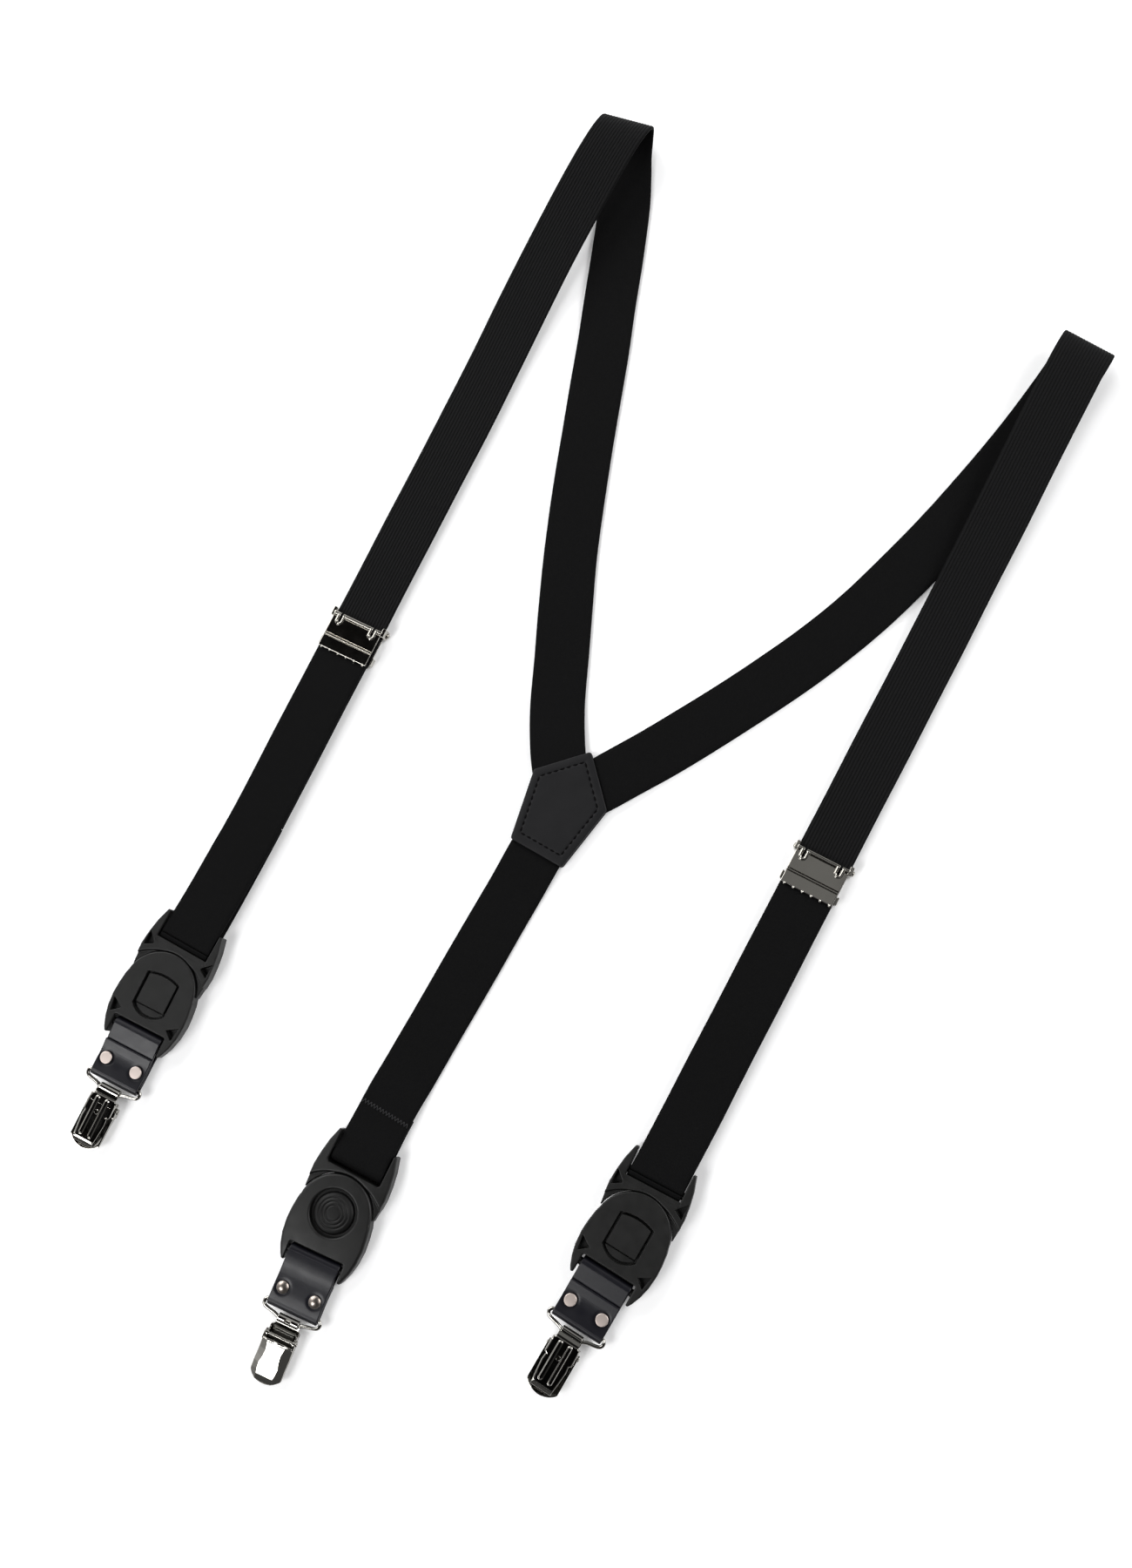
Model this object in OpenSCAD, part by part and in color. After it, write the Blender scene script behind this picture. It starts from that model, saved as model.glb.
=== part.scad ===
// Y-back elastic suspenders, laid out flat with both shoulder straps folded over
// Millimetres. +Z up from the table, +Y towards the shoulder folds, origin under the middle of the layout.

/* [Webbing] */
// Width of the elastic webbing
web_w = 25; // [20:0.5:25]
// Thickness of the elastic webbing
web_t = 1.6; // [1:0.1:1.7]
// Height of the front straps' middle plane, where the adjusters hold them
run_z = 3.5; // [3.5:0.05:3.55]

/* [Buckle] */
// Overall thickness of the buckle and of the clip
body_h = 8.5; // [8.5:0.1:9.5]
// Radius of the housing's round top
disc_r = 17; // [16:0.1:17]
// Radius of the release button's face
button_r = 9.7; // [8:0.1:9.8]
// Half width of the notches that the webbing and the leather pass through
notch_hw = 13; // [12.8:0.1:13.3]
// Radius of the two cross bars
bar_r = 1.75; // [1.5:0.05:1.8]

/* [Leather] */
// Width of the leather tab
tab_w = 24; // [20:0.5:24]
// Thickness of the tab's leather
tab_t = 1.3; // [0.9:0.1:1.3]
// Distance between the two rivets
rivet_gap = 15.5; // [12:0.5:16]
// Thickness of each patch leather
patch_t = 1.2; // [0.8:0.1:1.2]

/* [Wire and clip] */
// Radius of the ring's wire
wire_r = 0.85; // [0.7:0.05:0.87]
// Radius of the clip's hinge pin
pin_r = 0.75; // [0.6:0.05:0.75]

/* [Hidden] */

// Shift that puts the origin under the middle of the whole layout
ox = 0.25; oy = -2.23;

// Groups: 0 left, 1 right, 2 back. Button centre, frame heading, swivel of the housing on the frame, front face down
gx = [-111, 124, 8.8];
gy = [-168.5, -152.2, -211];
gh = [91.5, 93, 93.5];
gs = [2.5, -4, 3.5];
gflip = [true, true, false];
// Adjusters: centre and heading of the strap through them
ax = [-118.6, 118.3];
ay = [12.5, 19.6];
ah = [93.4, 91.75];

// Key heights in a buckle, from its rear face
bar_z = 4.0;
frame_bar_y = 23.2;
house_bar_y = -21.5;
ring_y = -44.3;
roll_y = -49.6;
cpin_y = roll_y - 7.6; cpin_z = 5.2;
jaw_y = roll_y - 4.4; jaw_z = 3.0;
apin_y = 7.9; apin_z = 1.35;
wrap_r = bar_r + 0.22 + web_t/2;
loop_z = body_h - bar_z;

module put(g, turn) translate([gx[g]+ox, gy[g]+oy, 0]) rotate([0,0,gh[g]+turn-90])
  translate([0,0,gflip[g] ? body_h : 0]) rotate([0,gflip[g] ? 180 : 0,0]) children();
module on_frame(g) put(g, 0) children();
module on_house(g) put(g, gs[g]) children();
module on_adjuster(a) translate([ax[a]+ox, ay[a]+oy, 0]) rotate([0,0,ah[a]-90]) children();
module xrod(r, hx, y, z) translate([-hx,y,z]) rotate([0,90,0]) cylinder(r=r, h=2*hx, $fn=48);
module both_sides() { children(); mirror([1,0,0]) children(); }
module side_cut(x0, x1) translate([x0,0,0]) rotate([90,0,90]) linear_extrude(x1-x0) children();

// ---- ribbons: a strip swept along round points, each [x, y, z, heading of the width line]
function cr(a,b,c,d,t) = 0.5*((2*b) + (c-a)*t + (2*a-5*b+4*c-d)*t*t + (3*b-a-3*c+d)*t*t*t);
function fine(p, n) = [for (i=[0:len(p)-2]) for (k=[0:n-1]) cr(p[max(i-1,0)], p[i], p[i+1], p[min(i+2,len(p)-1)], k/n), p[len(p)-1]];
function xyz(q) = [q[0], q[1], q[2]];
function unit(v) = v/norm(v);
function ring4(p, i, w, t) = let(a = xyz(p[max(i-1,0)]), b = xyz(p[min(i+1,len(p)-1)]), tg = unit(b-a),
    wd = [cos(p[i][3]), sin(p[i][3]), 0], n = unit(cross(tg, wd)), c = xyz(p[i]))
  [c - wd*w/2 - n*t/2, c + wd*w/2 - n*t/2, c + wd*w/2 + n*t/2, c - wd*w/2 + n*t/2];
module ribbon(pts, n=3, w=web_w, t=web_t) {
  p = fine(pts, n); m = len(p);
  v = [for (i=[0:m-1]) each ring4(p, i, w, t)];
  f = concat([[0,1,2,3]], [[4*m-1,4*m-2,4*m-3,4*m-4]],
    [for (i=[0:m-2]) for (k=[0:3]) let(a=4*i+k, b=4*i+(k+1)%4) [a, a+4, b+4, b]]);
  translate([ox,oy,0]) polyhedron(v, f, convexity=8);
}

strap_l = [[-3,4.7,2.15,50],[-10.2,15,2.15,31],[-19.6,30.9,1.1,27],[-30,52.7,0.8,25.5],[-40.5,74.6,0.8,25],
  [-50.9,97.2,0.8,24],[-62.9,126.4,0.8,22],[-76.7,162.4,0.8,21],[-87,189.8,0.8,20.5],[-94.5,208.5,0.8,20.5],
  [-104,233,0.8,21],[-113.5,256,0.86,20],[-120.5,270,1.2,16],[-125.5,279.5,2.6,13],[-128.3,286.5,6,11],
  [-129.2,289.5,10.2,10.5],[-128.9,288.2,14.2,10],[-128.7,283.5,17.2,9],[-129,276,18.2,8],[-129.6,262,16.8,6],
  [-130.2,240,12.8,4],[-130.3,215,8.8,3.4],[-129.4,188,5.6,3.4],[-127.6,160,3.9,3.4],[-125.2,125,run_z,3.4],
  [-121.9,68,run_z,3.4],[-118.6,12.5,run_z,3.4],[-115.9,-34,run_z,3.4],[-113.1,-80,run_z,3.4]];
strap_r = [[13.6,4.7,2.15,-50],[18.6,13,2.15,-33],[23.4,21,1.6,-31],[30.6,32.9,0.9,-30.5],[38.1,46,0.8,-29.5],
  [47.2,62.5,0.8,-28.5],[57.7,82.5,0.8,-27],[67.6,102.9,0.8,-25],[75,120.4,0.8,-22],[80.4,135.1,0.8,-19],
  [85,150.1,0.8,-17],[91,172,0.8,-14.5],[96.5,195,0.8,-12.5],[101.5,220,0.8,-11],[105.5,245,0.8,-9],
  [108,265,0.98,-7],[109,276,1.6,-5],[109.5,283.5,3.6,-4],[109.7,287.6,7.2,-3.5],[109.6,286,11,-3],
  [109.5,280,13,-2.5],[109.7,270,13.2,-2],[110.3,250,11.4,-1],[111.3,225,8.8,0.5],[112.6,195,6.2,1.2],
  [113.8,160,4.2,1.75],[114.9,130,run_z,1.75],[116.6,75,run_z,1.75],[118.3,19.6,run_z,1.75],[119.7,-26,run_z,1.75],[121.4,-80,run_z,1.75]];

// Bar centres under the front straps, and the way round each bar
bl = [-111.6, -145.3]; br = [122.8, -129];
function wrap(b, a0, h) = [[b[0]-0.05,b[1]-wrap_r*0.7,loop_z-wrap_r*0.72,a0],[b[0]-0.05,b[1]-wrap_r,loop_z,a0],[b[0]-0.05,b[1]-wrap_r*0.7,loop_z+wrap_r*0.72,a0],[b[0],b[1],loop_z+wrap_r,a0]];
loop_l = concat([[-113.1,-80.4,run_z,3.4],[-112.4,-98,3.2,2.4],[-111.9,-118,2.4,1.6],[-111.7,-134,2,1.5],[bl[0],bl[1],loop_z-wrap_r,1.5]], wrap(bl,1.5,1));
loop_r = concat([[121.4,-80.4,run_z,1.75],[121.9,-92,3.3,2.2],[122.3,-106,2.6,2.6],[122.6,-119,2,3],[br[0],br[1],loop_z-wrap_r,3]], wrap(br,3,1));
ret_l = [[bl[0],bl[1]+0.3,loop_z+wrap_r,1.5],[-111.8,-137,6.9,1.5],[-112,-122,6,1.8],[-112.5,-102,5.3,2.6],[-113.1,-80,5.2,3.4],[-115.9,-34,5.2,3.4],[-118.2,6,5.2,3.4]];
ret_r = [[br[0],br[1]+0.3,loop_z+wrap_r,3],[122.6,-121,6.9,3],[122.2,-107,6,2.6],[121.8,-92,5.3,2.2],[121.4,-80,5.2,1.75],[119.7,-26,5.2,1.75],[118.45,13,5.2,1.75]];
bc = [7.4, -187.9];
back = [[5.6,-3,2.15,0],[5.8,-22,2.15,0],[5.8,-36,1.9,0],[5.8,-50,0.9,0],[5.7,-70,0.8,0],[5.7,-100,0.8,0],[5.6,-130,0.8,0],[5.6,-144,1,0],[5.6,-152,1.9,0],
  [5.8,-160,2.75,0.5],[6.2,-170,3.4,1.5],[6.8,-180,5.4,2.8],[bc[0],bc[1],bar_z+wrap_r,3.5],[bc[0],bc[1]-wrap_r*0.7,bar_z+wrap_r*0.72,3.5],[bc[0],bc[1]-wrap_r,bar_z,3.5],
  [bc[0],bc[1]-wrap_r*0.7,bar_z-wrap_r*0.72,3.5],[bc[0],bc[1],bar_z-wrap_r,3.5],[6.9,-180,1.1,2.8],[6.2,-170,0.9,1.5],[5.9,-161,0.9,0.7]];

module strap_left() color([0.05,0.05,0.055]) ribbon(strap_l, 2);
module strap_right() color([0.05,0.05,0.055]) ribbon(strap_r, 2);
module loop_left() color([0.05,0.05,0.055]) ribbon(loop_l, 3);
module loop_right() color([0.05,0.05,0.055]) ribbon(loop_r, 3);
module return_left() color([0.06,0.06,0.065]) ribbon(ret_l, 3);
module return_right() color([0.06,0.06,0.065]) ribbon(ret_r, 3);
module back_strap() color([0.05,0.05,0.055]) ribbon(back, 3);
// Zigzag seam through both layers of the back strap's turned end
module back_seam() color([0.1,0.1,0.1]) translate([ox,oy,0]) for (i=[-7:7])
  translate([5.9+i*1.6,-163.4+(i%2==0?0.6:-0.6),3.68]) rotate([0,0,i%2==0?-40:40]) cube([1.7,0.5,0.3], center=true);

// ---- leather patch where the three straps meet
patch_pts = [[-6.9,-32],[19.1,-32.2],[24,0],[4.9,19.4],[-13.4,0.4]];
module patch_plate(z) translate([ox,oy,z]) hull() for (q=patch_pts) translate([q[0]+(5.3-q[0])*0.06, q[1]+(-8-q[1])*0.06, 0]) cylinder(r=1.3, h=patch_t, $fn=32);
module patch_back() color([0.04,0.04,0.045]) patch_plate(0);
module patch_front() color([0.06,0.06,0.07]) patch_plate(2*patch_t + web_t + 0.35 - patch_t);
function lerp(a,b,t) = a + (b-a)*t;
module patch_stitches() color([0.02,0.02,0.02]) translate([ox,oy,2*patch_t+web_t+0.35+0.01]) for (k=[0:4])
  let(a = lerp([5.3,-8], patch_pts[k], 0.87), b = lerp([5.3,-8], patch_pts[(k+1)%5], 0.87), L = norm(b-a), m = round(L/3), d = (b-a)/L)
    for (i=[0:m-1]) translate([a[0]+d[0]*(i+0.5)*L/m, a[1]+d[1]*(i+0.5)*L/m, 0]) rotate([0,0,atan2(d[1],d[0])]) translate([-1,-0.3,0]) cube([2,0.6,0.3]);

// ---- adjuster: rear plate with ears, flip lever, hinge pin
module adjuster_plate(a) color([0.35,0.35,0.36]) on_adjuster(a) difference() {
  union() {
    translate([-12.4,-9.6,6.2]) cube([24.8,17,0.8]);
    xrod(0.8, 12.4, 7.5, 6.4);
    xrod(0.55, 12.3, -3.3, 6.95);
    for (i=[0:5]) translate([-11.2+i*4.3,-10.2,6.2]) cube([1.6,0.8,0.7]);
    both_sides() { translate([12.2,5.7,6.2]) cube([1.5,4.2,0.8]); translate([12.9,5.7,0.1]) cube([0.8,4.2,6.5]); }
    both_sides() translate([8.4,4.4,6.9]) linear_extrude(0.65) difference() {
      union() { circle(r=2.1, $fn=40); translate([-2.1,0]) square([4.2,2.9]); }
      circle(r=0.7, $fn=32); translate([-0.7,0]) square([1.4,3]);
    }
  }
  xrod(0.75, 14, apin_y, apin_z);
}
module adjuster_lever(a) color([0.3,0.3,0.31]) on_adjuster(a) difference() {
  union() {
    xrod(1.2, 12.3, apin_y, apin_z);
    translate([-12.3,-9.2,0.2]) cube([24.6,17,1]);
    both_sides() { translate([12,-8.2,0.2]) cube([1.7,3.8,1]); translate([12.9,-8.2,0.2]) cube([0.8,3.8,4]); }
    xrod(0.45, 12, -9.2, 0.75);
  }
  xrod(0.75, 14, apin_y, apin_z);
}
module adjuster_pin(a) color([0.4,0.4,0.41]) on_adjuster(a) { xrod(0.7, 14, apin_y, apin_z);
  both_sides() translate([13.75,apin_y,apin_z]) rotate([0,90,0]) cylinder(r=1.3, h=0.9, $fn=48); }

// ---- buckle frame that the webbing is looped through
frame_half = [[13,33.5],[14.4,33.4],[15.1,31],[16.3,27],[17.3,21],[17.9,15],[17.6,10],[17.1,4.6]];
function mirrored(p) = [for (i=[len(p)-1:-1:0]) [-p[i][0], p[i][1]]];
module frame_2d() polygon(concat(frame_half, mirrored(frame_half)));
module core_outs(s) both_sides() for (t=s) translate([0,0,-0.1]) linear_extrude(3.1) polygon(t);
module buckle_frame(g) color([0.12,0.12,0.125]) on_frame(g) difference() {
  union() {
    difference() {
      linear_extrude(body_h) frame_2d();
      translate([0,-8.75,-1]) cylinder(r=25.6, h=12, $fn=120);
      translate([0,0,-1]) cylinder(r=disc_r+0.3, h=12, $fn=120);
    }
    translate([0,0,1.6]) linear_extrude(5) difference() { intersection() { frame_2d(); translate([0,-8.75]) circle(r=25.9, $fn=120); } circle(r=disc_r+0.3, $fn=120); }
    xrod(bar_r, 13.6, frame_bar_y, bar_z);
  }
  difference() { translate([-notch_hw,18.6,-1]) cube([2*notch_hw,16,12]); xrod(bar_r, 14, frame_bar_y, bar_z); }
  // groove that carries the head of the swivelling tongue
  rotate([0,0,90-36]) rotate_extrude(angle=72, $fn=120) union() { translate([17.5,2.3]) square([0.55,2.6]); translate([16.5,2.8]) square([1.1,1.6]); }
  core_outs([[[16.6,20.2],[16.2,15.2],[13.6,17.2],[13.9,18.1]]]);
}
// Tongue that swivels in the frame and holds the housing
module swivel_tongue(g) color([0.13,0.13,0.135]) on_house(g) union() {
  translate([0,0,2.9]) linear_extrude(1.4) intersection() { translate([-7.4,-8.5]) square([14.8,27]); circle(r=17.75, $fn=120); }
  rotate([0,0,90-24]) rotate_extrude(angle=48, $fn=120) translate([17.6,2.4]) square([0.35,2.4]);
}
// ---- housing with the round top, the button hole and the leather's bar
house_half = [[16.9,1.5],[17.5,0],[18.2,-5],[18.5,-10],[18,-16],[16.8,-21],[15.2,-25],[14.2,-26.7],[13,-26.9]];
module buckle_housing(g) color([0.12,0.12,0.125]) on_house(g) difference() {
  union() {
    linear_extrude(body_h) polygon(concat(house_half, mirrored(house_half)));
    cylinder(r=disc_r, h=body_h, $fn=120);
    xrod(bar_r, 13.6, house_bar_y, bar_z);
  }
  difference() { translate([-notch_hw,-28,-1]) cube([2*notch_hw,10.1,12]); xrod(bar_r, 14, house_bar_y, bar_z); }
  translate([-7.8,-12.5,2.7]) cube([15.6,32,1.8]);
  translate([0,0,6.7]) cylinder(r=10.1, h=3, $fn=96);
  translate([0,0,4.3]) cylinder(r=11.3, h=2.4, $fn=96);
  translate([0,0,-1]) linear_extrude(3.9) intersection() {
    translate([-8.25,-14]) square([16.5,21]); translate([0,-15]) circle(r=22, $fn=96);
    union() { translate([-9,-2.8]) square([18,12]); translate([0,-2.8]) circle(r=11, $fn=96); }
  }
  core_outs([[[16.6,-12.2],[15.6,-16.9],[12.8,-14.6]]]);
}
module release_button(g) color([0.12,0.12,0.125]) on_house(g) union() {
  translate([0,0,5.8]) cylinder(r=11, h=0.7, $fn=96);
  translate([0,0,6.4]) cylinder(r=button_r, h=1, $fn=96);
  intersection() { translate([0,0,7.35]) cylinder(r=button_r, h=1, $fn=96); translate([0,0,8.2-58]) sphere(r=58, $fn=96); }
}
// Leaf spring between the tongue and the button
module latch_spring(g) color([0.6,0.6,0.62]) on_house(g) difference() {
  translate([-3.5,-7,4.35]) cube([7,14,1.4]);
  translate([-4,-5.5,4.8]) cube([8,11,0.7]);
}
// ---- leather tab folded round the housing's bar and the ring
function arc(cy, cz, r, a0, a1, n) = [for (i=[0:n]) let(a = lerp(a0,a1,i/n)) [cy + r*cos(a), cz + r*sin(a)]];
tab_mid = concat([[-42.4,4.35],[-38,4.35],[-33,3.9],[-27.5,2.4]], arc(house_bar_y, bar_z, bar_r+0.2+tab_t/2, -96, 96, 14),
  [[-27.5,6.4],[-33,6.0],[-39,5.85]], arc(ring_y, bar_z, wire_r+0.2+tab_t/2, 84, 276, 12), [[-40,2.4],[-37,2.65],[-33.4,2.45],[-29.8,1.5]]);
function off2(p, i, d) = let(a = p[max(i-1,0)], b = p[min(i+1,len(p)-1)], t = (b-a)/norm(b-a)) p[i] + d*[-t[1], t[0]];
tab_side = concat([for (i=[0:len(tab_mid)-1]) off2(tab_mid, i, tab_t/2)], [for (i=[len(tab_mid)-1:-1:0]) off2(tab_mid, i, -tab_t/2)]);
module leather_tab(g) color([0.07,0.07,0.08]) on_house(g) difference() {
  side_cut(-tab_w/2, tab_w/2) polygon(tab_side);
  both_sides() translate([rivet_gap/2,-37.2,-1]) cylinder(r=1.5, h=10, $fn=48);
}
module tab_rivets(g) color([0.6,0.57,0.54]) on_house(g) both_sides() translate([rivet_gap/2,-37.2,0]) {
  translate([0,0,1.6]) cylinder(r=1.45, h=5.3, $fn=48);
  translate([0,0,0.9]) cylinder(r=2.8, h=0.75, $fn=48);
  translate([0,0,6.72]) cylinder(r=2.8, h=0.4, $fn=48);
  translate([0,0,7.1]) intersection() { cylinder(r=2.8, h=2, $fn=48); translate([0,0,-3.6]) sphere(r=4.56, $fn=64); }
}
// ---- wire ring between the leather and the clip
// its route is one closed loop: long bar in the leather, rounded corners, short bar in the clip
ring_half = [[0,ring_y],[6,ring_y],[11.4,ring_y],[12.7,ring_y-0.25],[13.35,ring_y-1.15],[13.3,ring_y-2.3],[12.4,ring_y-3.35],[10.4,ring_y-3.95],[8,roll_y+0.9],[6.6,roll_y+0.5],[5.6,roll_y+0.1],[4.6,roll_y],[0,roll_y]];
ring_loop = concat(ring_half, [for (i=[len(ring_half)-2:-1:1]) [-ring_half[i][0], ring_half[i][1]]]);
module wire_ring(g, s=16) color([0.45,0.45,0.46]) on_house(g) {
  n = len(ring_loop);
  v = [for (i=[0:n-1]) let(a = ring_loop[(i+n-1)%n], b = ring_loop[(i+1)%n], t = (b-a)/norm(b-a), m = [-t[1], t[0]], c = ring_loop[i])
    for (k=[0:s-1]) [c[0]+m[0]*wire_r*cos(360*k/s), c[1]+m[1]*wire_r*cos(360*k/s), bar_z + wire_r*sin(360*k/s)]];
  polyhedron(v, [for (i=[0:n-1]) for (k=[0:s-1]) [i*s+k, i*s+(k+1)%s, ((i+1)%n)*s+(k+1)%s, ((i+1)%n)*s+k]], convexity=6);
}
// ---- flip lever clip
plate_half = [[5,roll_y-3.2],[6.7,roll_y-3.4],[6.7,roll_y-10.6],[5.6,roll_y-11.4],[6,roll_y-14],[5.6,roll_y-19],[5.1,roll_y-23.5]];
module clip_plate(g) color([0.38,0.38,0.39]) on_house(g) difference() {
  union() {
    xrod(2, 5, roll_y, bar_z);
    side_cut(-5, 5) polygon([[roll_y-0.4,2.2],[roll_y-1.9,3.6],[roll_y-3.9,1.5],[roll_y-3.4,0.5]]);
    translate([0,0,0.5]) linear_extrude(1) polygon(concat(plate_half, mirrored(plate_half)));
    side_cut(-5, 5) polygon([[roll_y-23.2,0.5],[roll_y-23.2,1.5],[roll_y-25.1,2.5],[roll_y-25.5,1.7]]);
    both_sides() { translate([1.25,roll_y-20.9,0]) cube([2.2,15.2,0.6]); for (y=[-5.7,-20.9]) translate([2.35,roll_y+y,0]) cylinder(r=1.1, h=0.6, $fn=32); }
    both_sides() side_cut(5.9, 6.7) union() { polygon([[roll_y-3.4,0.6],[roll_y-3.4,4],[roll_y-6.2,5.2],[cpin_y,cpin_z],[roll_y-8.9,5.2],[roll_y-9,3],[roll_y-10.6,0.6]]); translate([cpin_y,cpin_z]) circle(r=1.6, $fn=48); }
  }
  xrod(wire_r+0.1, 7, roll_y, bar_z);
  xrod(pin_r+0.05, 8, cpin_y, cpin_z);
  xrod(0.65, 8, jaw_y, jaw_z);
  translate([0,roll_y-10.4,-1]) cylinder(r=0.9, h=4, $fn=32);
  // small slot in the rolled tongue
  translate([-1.6,roll_y-0.6,bar_z+1]) cube([3.2,1.2,2]);
}
module clip_pin(g) color([0.45,0.45,0.46]) on_house(g) xrod(pin_r, 7.9, cpin_y, cpin_z);
module clip_jaw(g) color([0.3,0.3,0.3]) on_house(g) union() {
  xrod(0.6, 6.6, jaw_y, jaw_z);
  xrod(0.85, 4.9, jaw_y, jaw_z);
  side_cut(-4.9, 4.9) polygon([[jaw_y,2.2],[jaw_y,3.1],[roll_y-22,2.9],[roll_y-24.6,3.5],[roll_y-24.9,2.8],[roll_y-22,2.1]]);
}
module lever_2d(s) intersection() { translate([-7.5+s,roll_y-30]) square([15-2*s,20.6]); union() { translate([-8,roll_y-18.5]) square([16,12]); translate([0,roll_y-18.5]) circle(r=9.5-s, $fn=96); } }
module clip_lever(g) color([0.42,0.42,0.43]) on_house(g) difference() {
  union() {
    intersection() { linear_extrude(9) lever_2d(0);
      side_cut(-8, 8) polygon([[roll_y-9.3,3.3],[roll_y-9.3,8.3],[roll_y-10.6,body_h],[roll_y-27,5.9],[roll_y-28.2,4.9],[roll_y-28.2,3.6],[roll_y-24,3.2]]); }
    both_sides() side_cut(6.8, 7.5) union() { polygon([[cpin_y,cpin_z-1.9],[cpin_y,cpin_z+1.9],[roll_y-10,7.6],[roll_y-10,3.3]]); translate([cpin_y,cpin_z]) circle(r=1.9, $fn=48); }
  }
  difference() {
    intersection() { linear_extrude(9) lever_2d(0.75);
      side_cut(-8, 8) polygon([[roll_y-10.1,2],[roll_y-10.1,7.6],[roll_y-10.9,7.7],[roll_y-26.5,5.1],[roll_y-27.2,2]]); }
  }
  xrod(pin_r+0.05, 8, cpin_y, cpin_z);
}

patch_front();
patch_back();
patch_stitches();
strap_left();
strap_right();
loop_left();
loop_right();
return_left();
return_right();
back_strap();
back_seam();
adjuster_plate(0);  // adjuster_plate_left
adjuster_lever(0);  // adjuster_lever_left
adjuster_pin(0);  // adjuster_pin_left
adjuster_plate(1);  // adjuster_plate_right
adjuster_lever(1);  // adjuster_lever_right
adjuster_pin(1);  // adjuster_pin_right
buckle_frame(0);  // buckle_frame_left
swivel_tongue(0);  // swivel_tongue_left
buckle_housing(0);  // buckle_housing_left
release_button(0);  // release_button_left
latch_spring(0);  // latch_spring_left
leather_tab(0);  // leather_tab_left
tab_rivets(0);  // tab_rivets_left
wire_ring(0);  // wire_ring_left
clip_plate(0);  // clip_plate_left
clip_pin(0);  // clip_pin_left
clip_jaw(0);  // clip_jaw_left
clip_lever(0);  // clip_lever_left
buckle_frame(1);  // buckle_frame_right
swivel_tongue(1);  // swivel_tongue_right
buckle_housing(1);  // buckle_housing_right
release_button(1);  // release_button_right
latch_spring(1);  // latch_spring_right
leather_tab(1);  // leather_tab_right
tab_rivets(1);  // tab_rivets_right
wire_ring(1);  // wire_ring_right
clip_plate(1);  // clip_plate_right
clip_pin(1);  // clip_pin_right
clip_jaw(1);  // clip_jaw_right
clip_lever(1);  // clip_lever_right
buckle_frame(2);  // buckle_frame_back
swivel_tongue(2);  // swivel_tongue_back
buckle_housing(2);  // buckle_housing_back
release_button(2);  // release_button_back
latch_spring(2);  // latch_spring_back
leather_tab(2);  // leather_tab_back
tab_rivets(2);  // tab_rivets_back
wire_ring(2);  // wire_ring_back
clip_plate(2);  // clip_plate_back
clip_pin(2);  // clip_pin_back
clip_jaw(2);  // clip_jaw_back
clip_lever(2);  // clip_lever_back
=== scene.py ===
import bpy, bmesh, math
import numpy as np
from mathutils import Matrix, Vector


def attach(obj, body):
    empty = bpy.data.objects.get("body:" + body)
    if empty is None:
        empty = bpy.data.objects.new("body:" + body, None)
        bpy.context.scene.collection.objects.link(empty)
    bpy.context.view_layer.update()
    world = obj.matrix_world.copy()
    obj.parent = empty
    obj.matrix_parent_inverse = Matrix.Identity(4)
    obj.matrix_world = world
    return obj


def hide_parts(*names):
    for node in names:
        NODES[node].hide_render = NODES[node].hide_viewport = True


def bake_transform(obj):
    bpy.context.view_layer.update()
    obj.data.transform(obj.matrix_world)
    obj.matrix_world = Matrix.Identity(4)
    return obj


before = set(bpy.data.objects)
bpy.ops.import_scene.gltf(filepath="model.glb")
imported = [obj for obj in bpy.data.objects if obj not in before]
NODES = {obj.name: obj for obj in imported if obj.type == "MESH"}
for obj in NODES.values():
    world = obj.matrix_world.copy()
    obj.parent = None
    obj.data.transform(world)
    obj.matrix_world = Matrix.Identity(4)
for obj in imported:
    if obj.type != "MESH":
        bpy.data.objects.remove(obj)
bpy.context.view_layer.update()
MM = 0.001
OX, OY = 0.25, -2.23

# ------------------------------------------------------------------ camera, light, floor
def camera():
    cam = bpy.data.cameras.new("camera")
    cam.lens, cam.sensor_width = 40.0, 36.0
    cam.clip_start, cam.clip_end = 0.01, 20
    o = bpy.data.objects.new("camera", cam)
    bpy.context.scene.collection.objects.link(o)
    right, up, back = Vector((0.858573, 0.497886, -0.12232)), Vector((-0.475197, 0.862364, 0.174687)), Vector((0.192459, -0.091855, 0.976997))
    m = Matrix((right, up, back)).transposed().to_4x4()
    m.translation = Vector(((152 + OX) * MM, (-70 + OY) * MM, 0.763577))
    o.matrix_world = m
    bpy.context.scene.camera = o
    return right, up, back

RIGHT, UP, BACK = camera()

def area(name, at, to, size, power, color=(1, 1, 1), size_y=None):
    l = bpy.data.lights.new(name, "AREA")
    l.energy, l.color = power, color
    l.shape, l.size, l.size_y = "RECTANGLE", size, size_y or size
    o = bpy.data.objects.new(name, l)
    bpy.context.scene.collection.objects.link(o)
    o.location = Vector(at)
    o.rotation_mode = "QUATERNION"
    o.rotation_quaternion = (Vector(to) - Vector(at)).to_track_quat("-Z", "Y")
    return o

def nodes_of(m):
    m.use_nodes = True
    t = m.node_tree
    t.nodes.clear()
    return t

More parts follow.
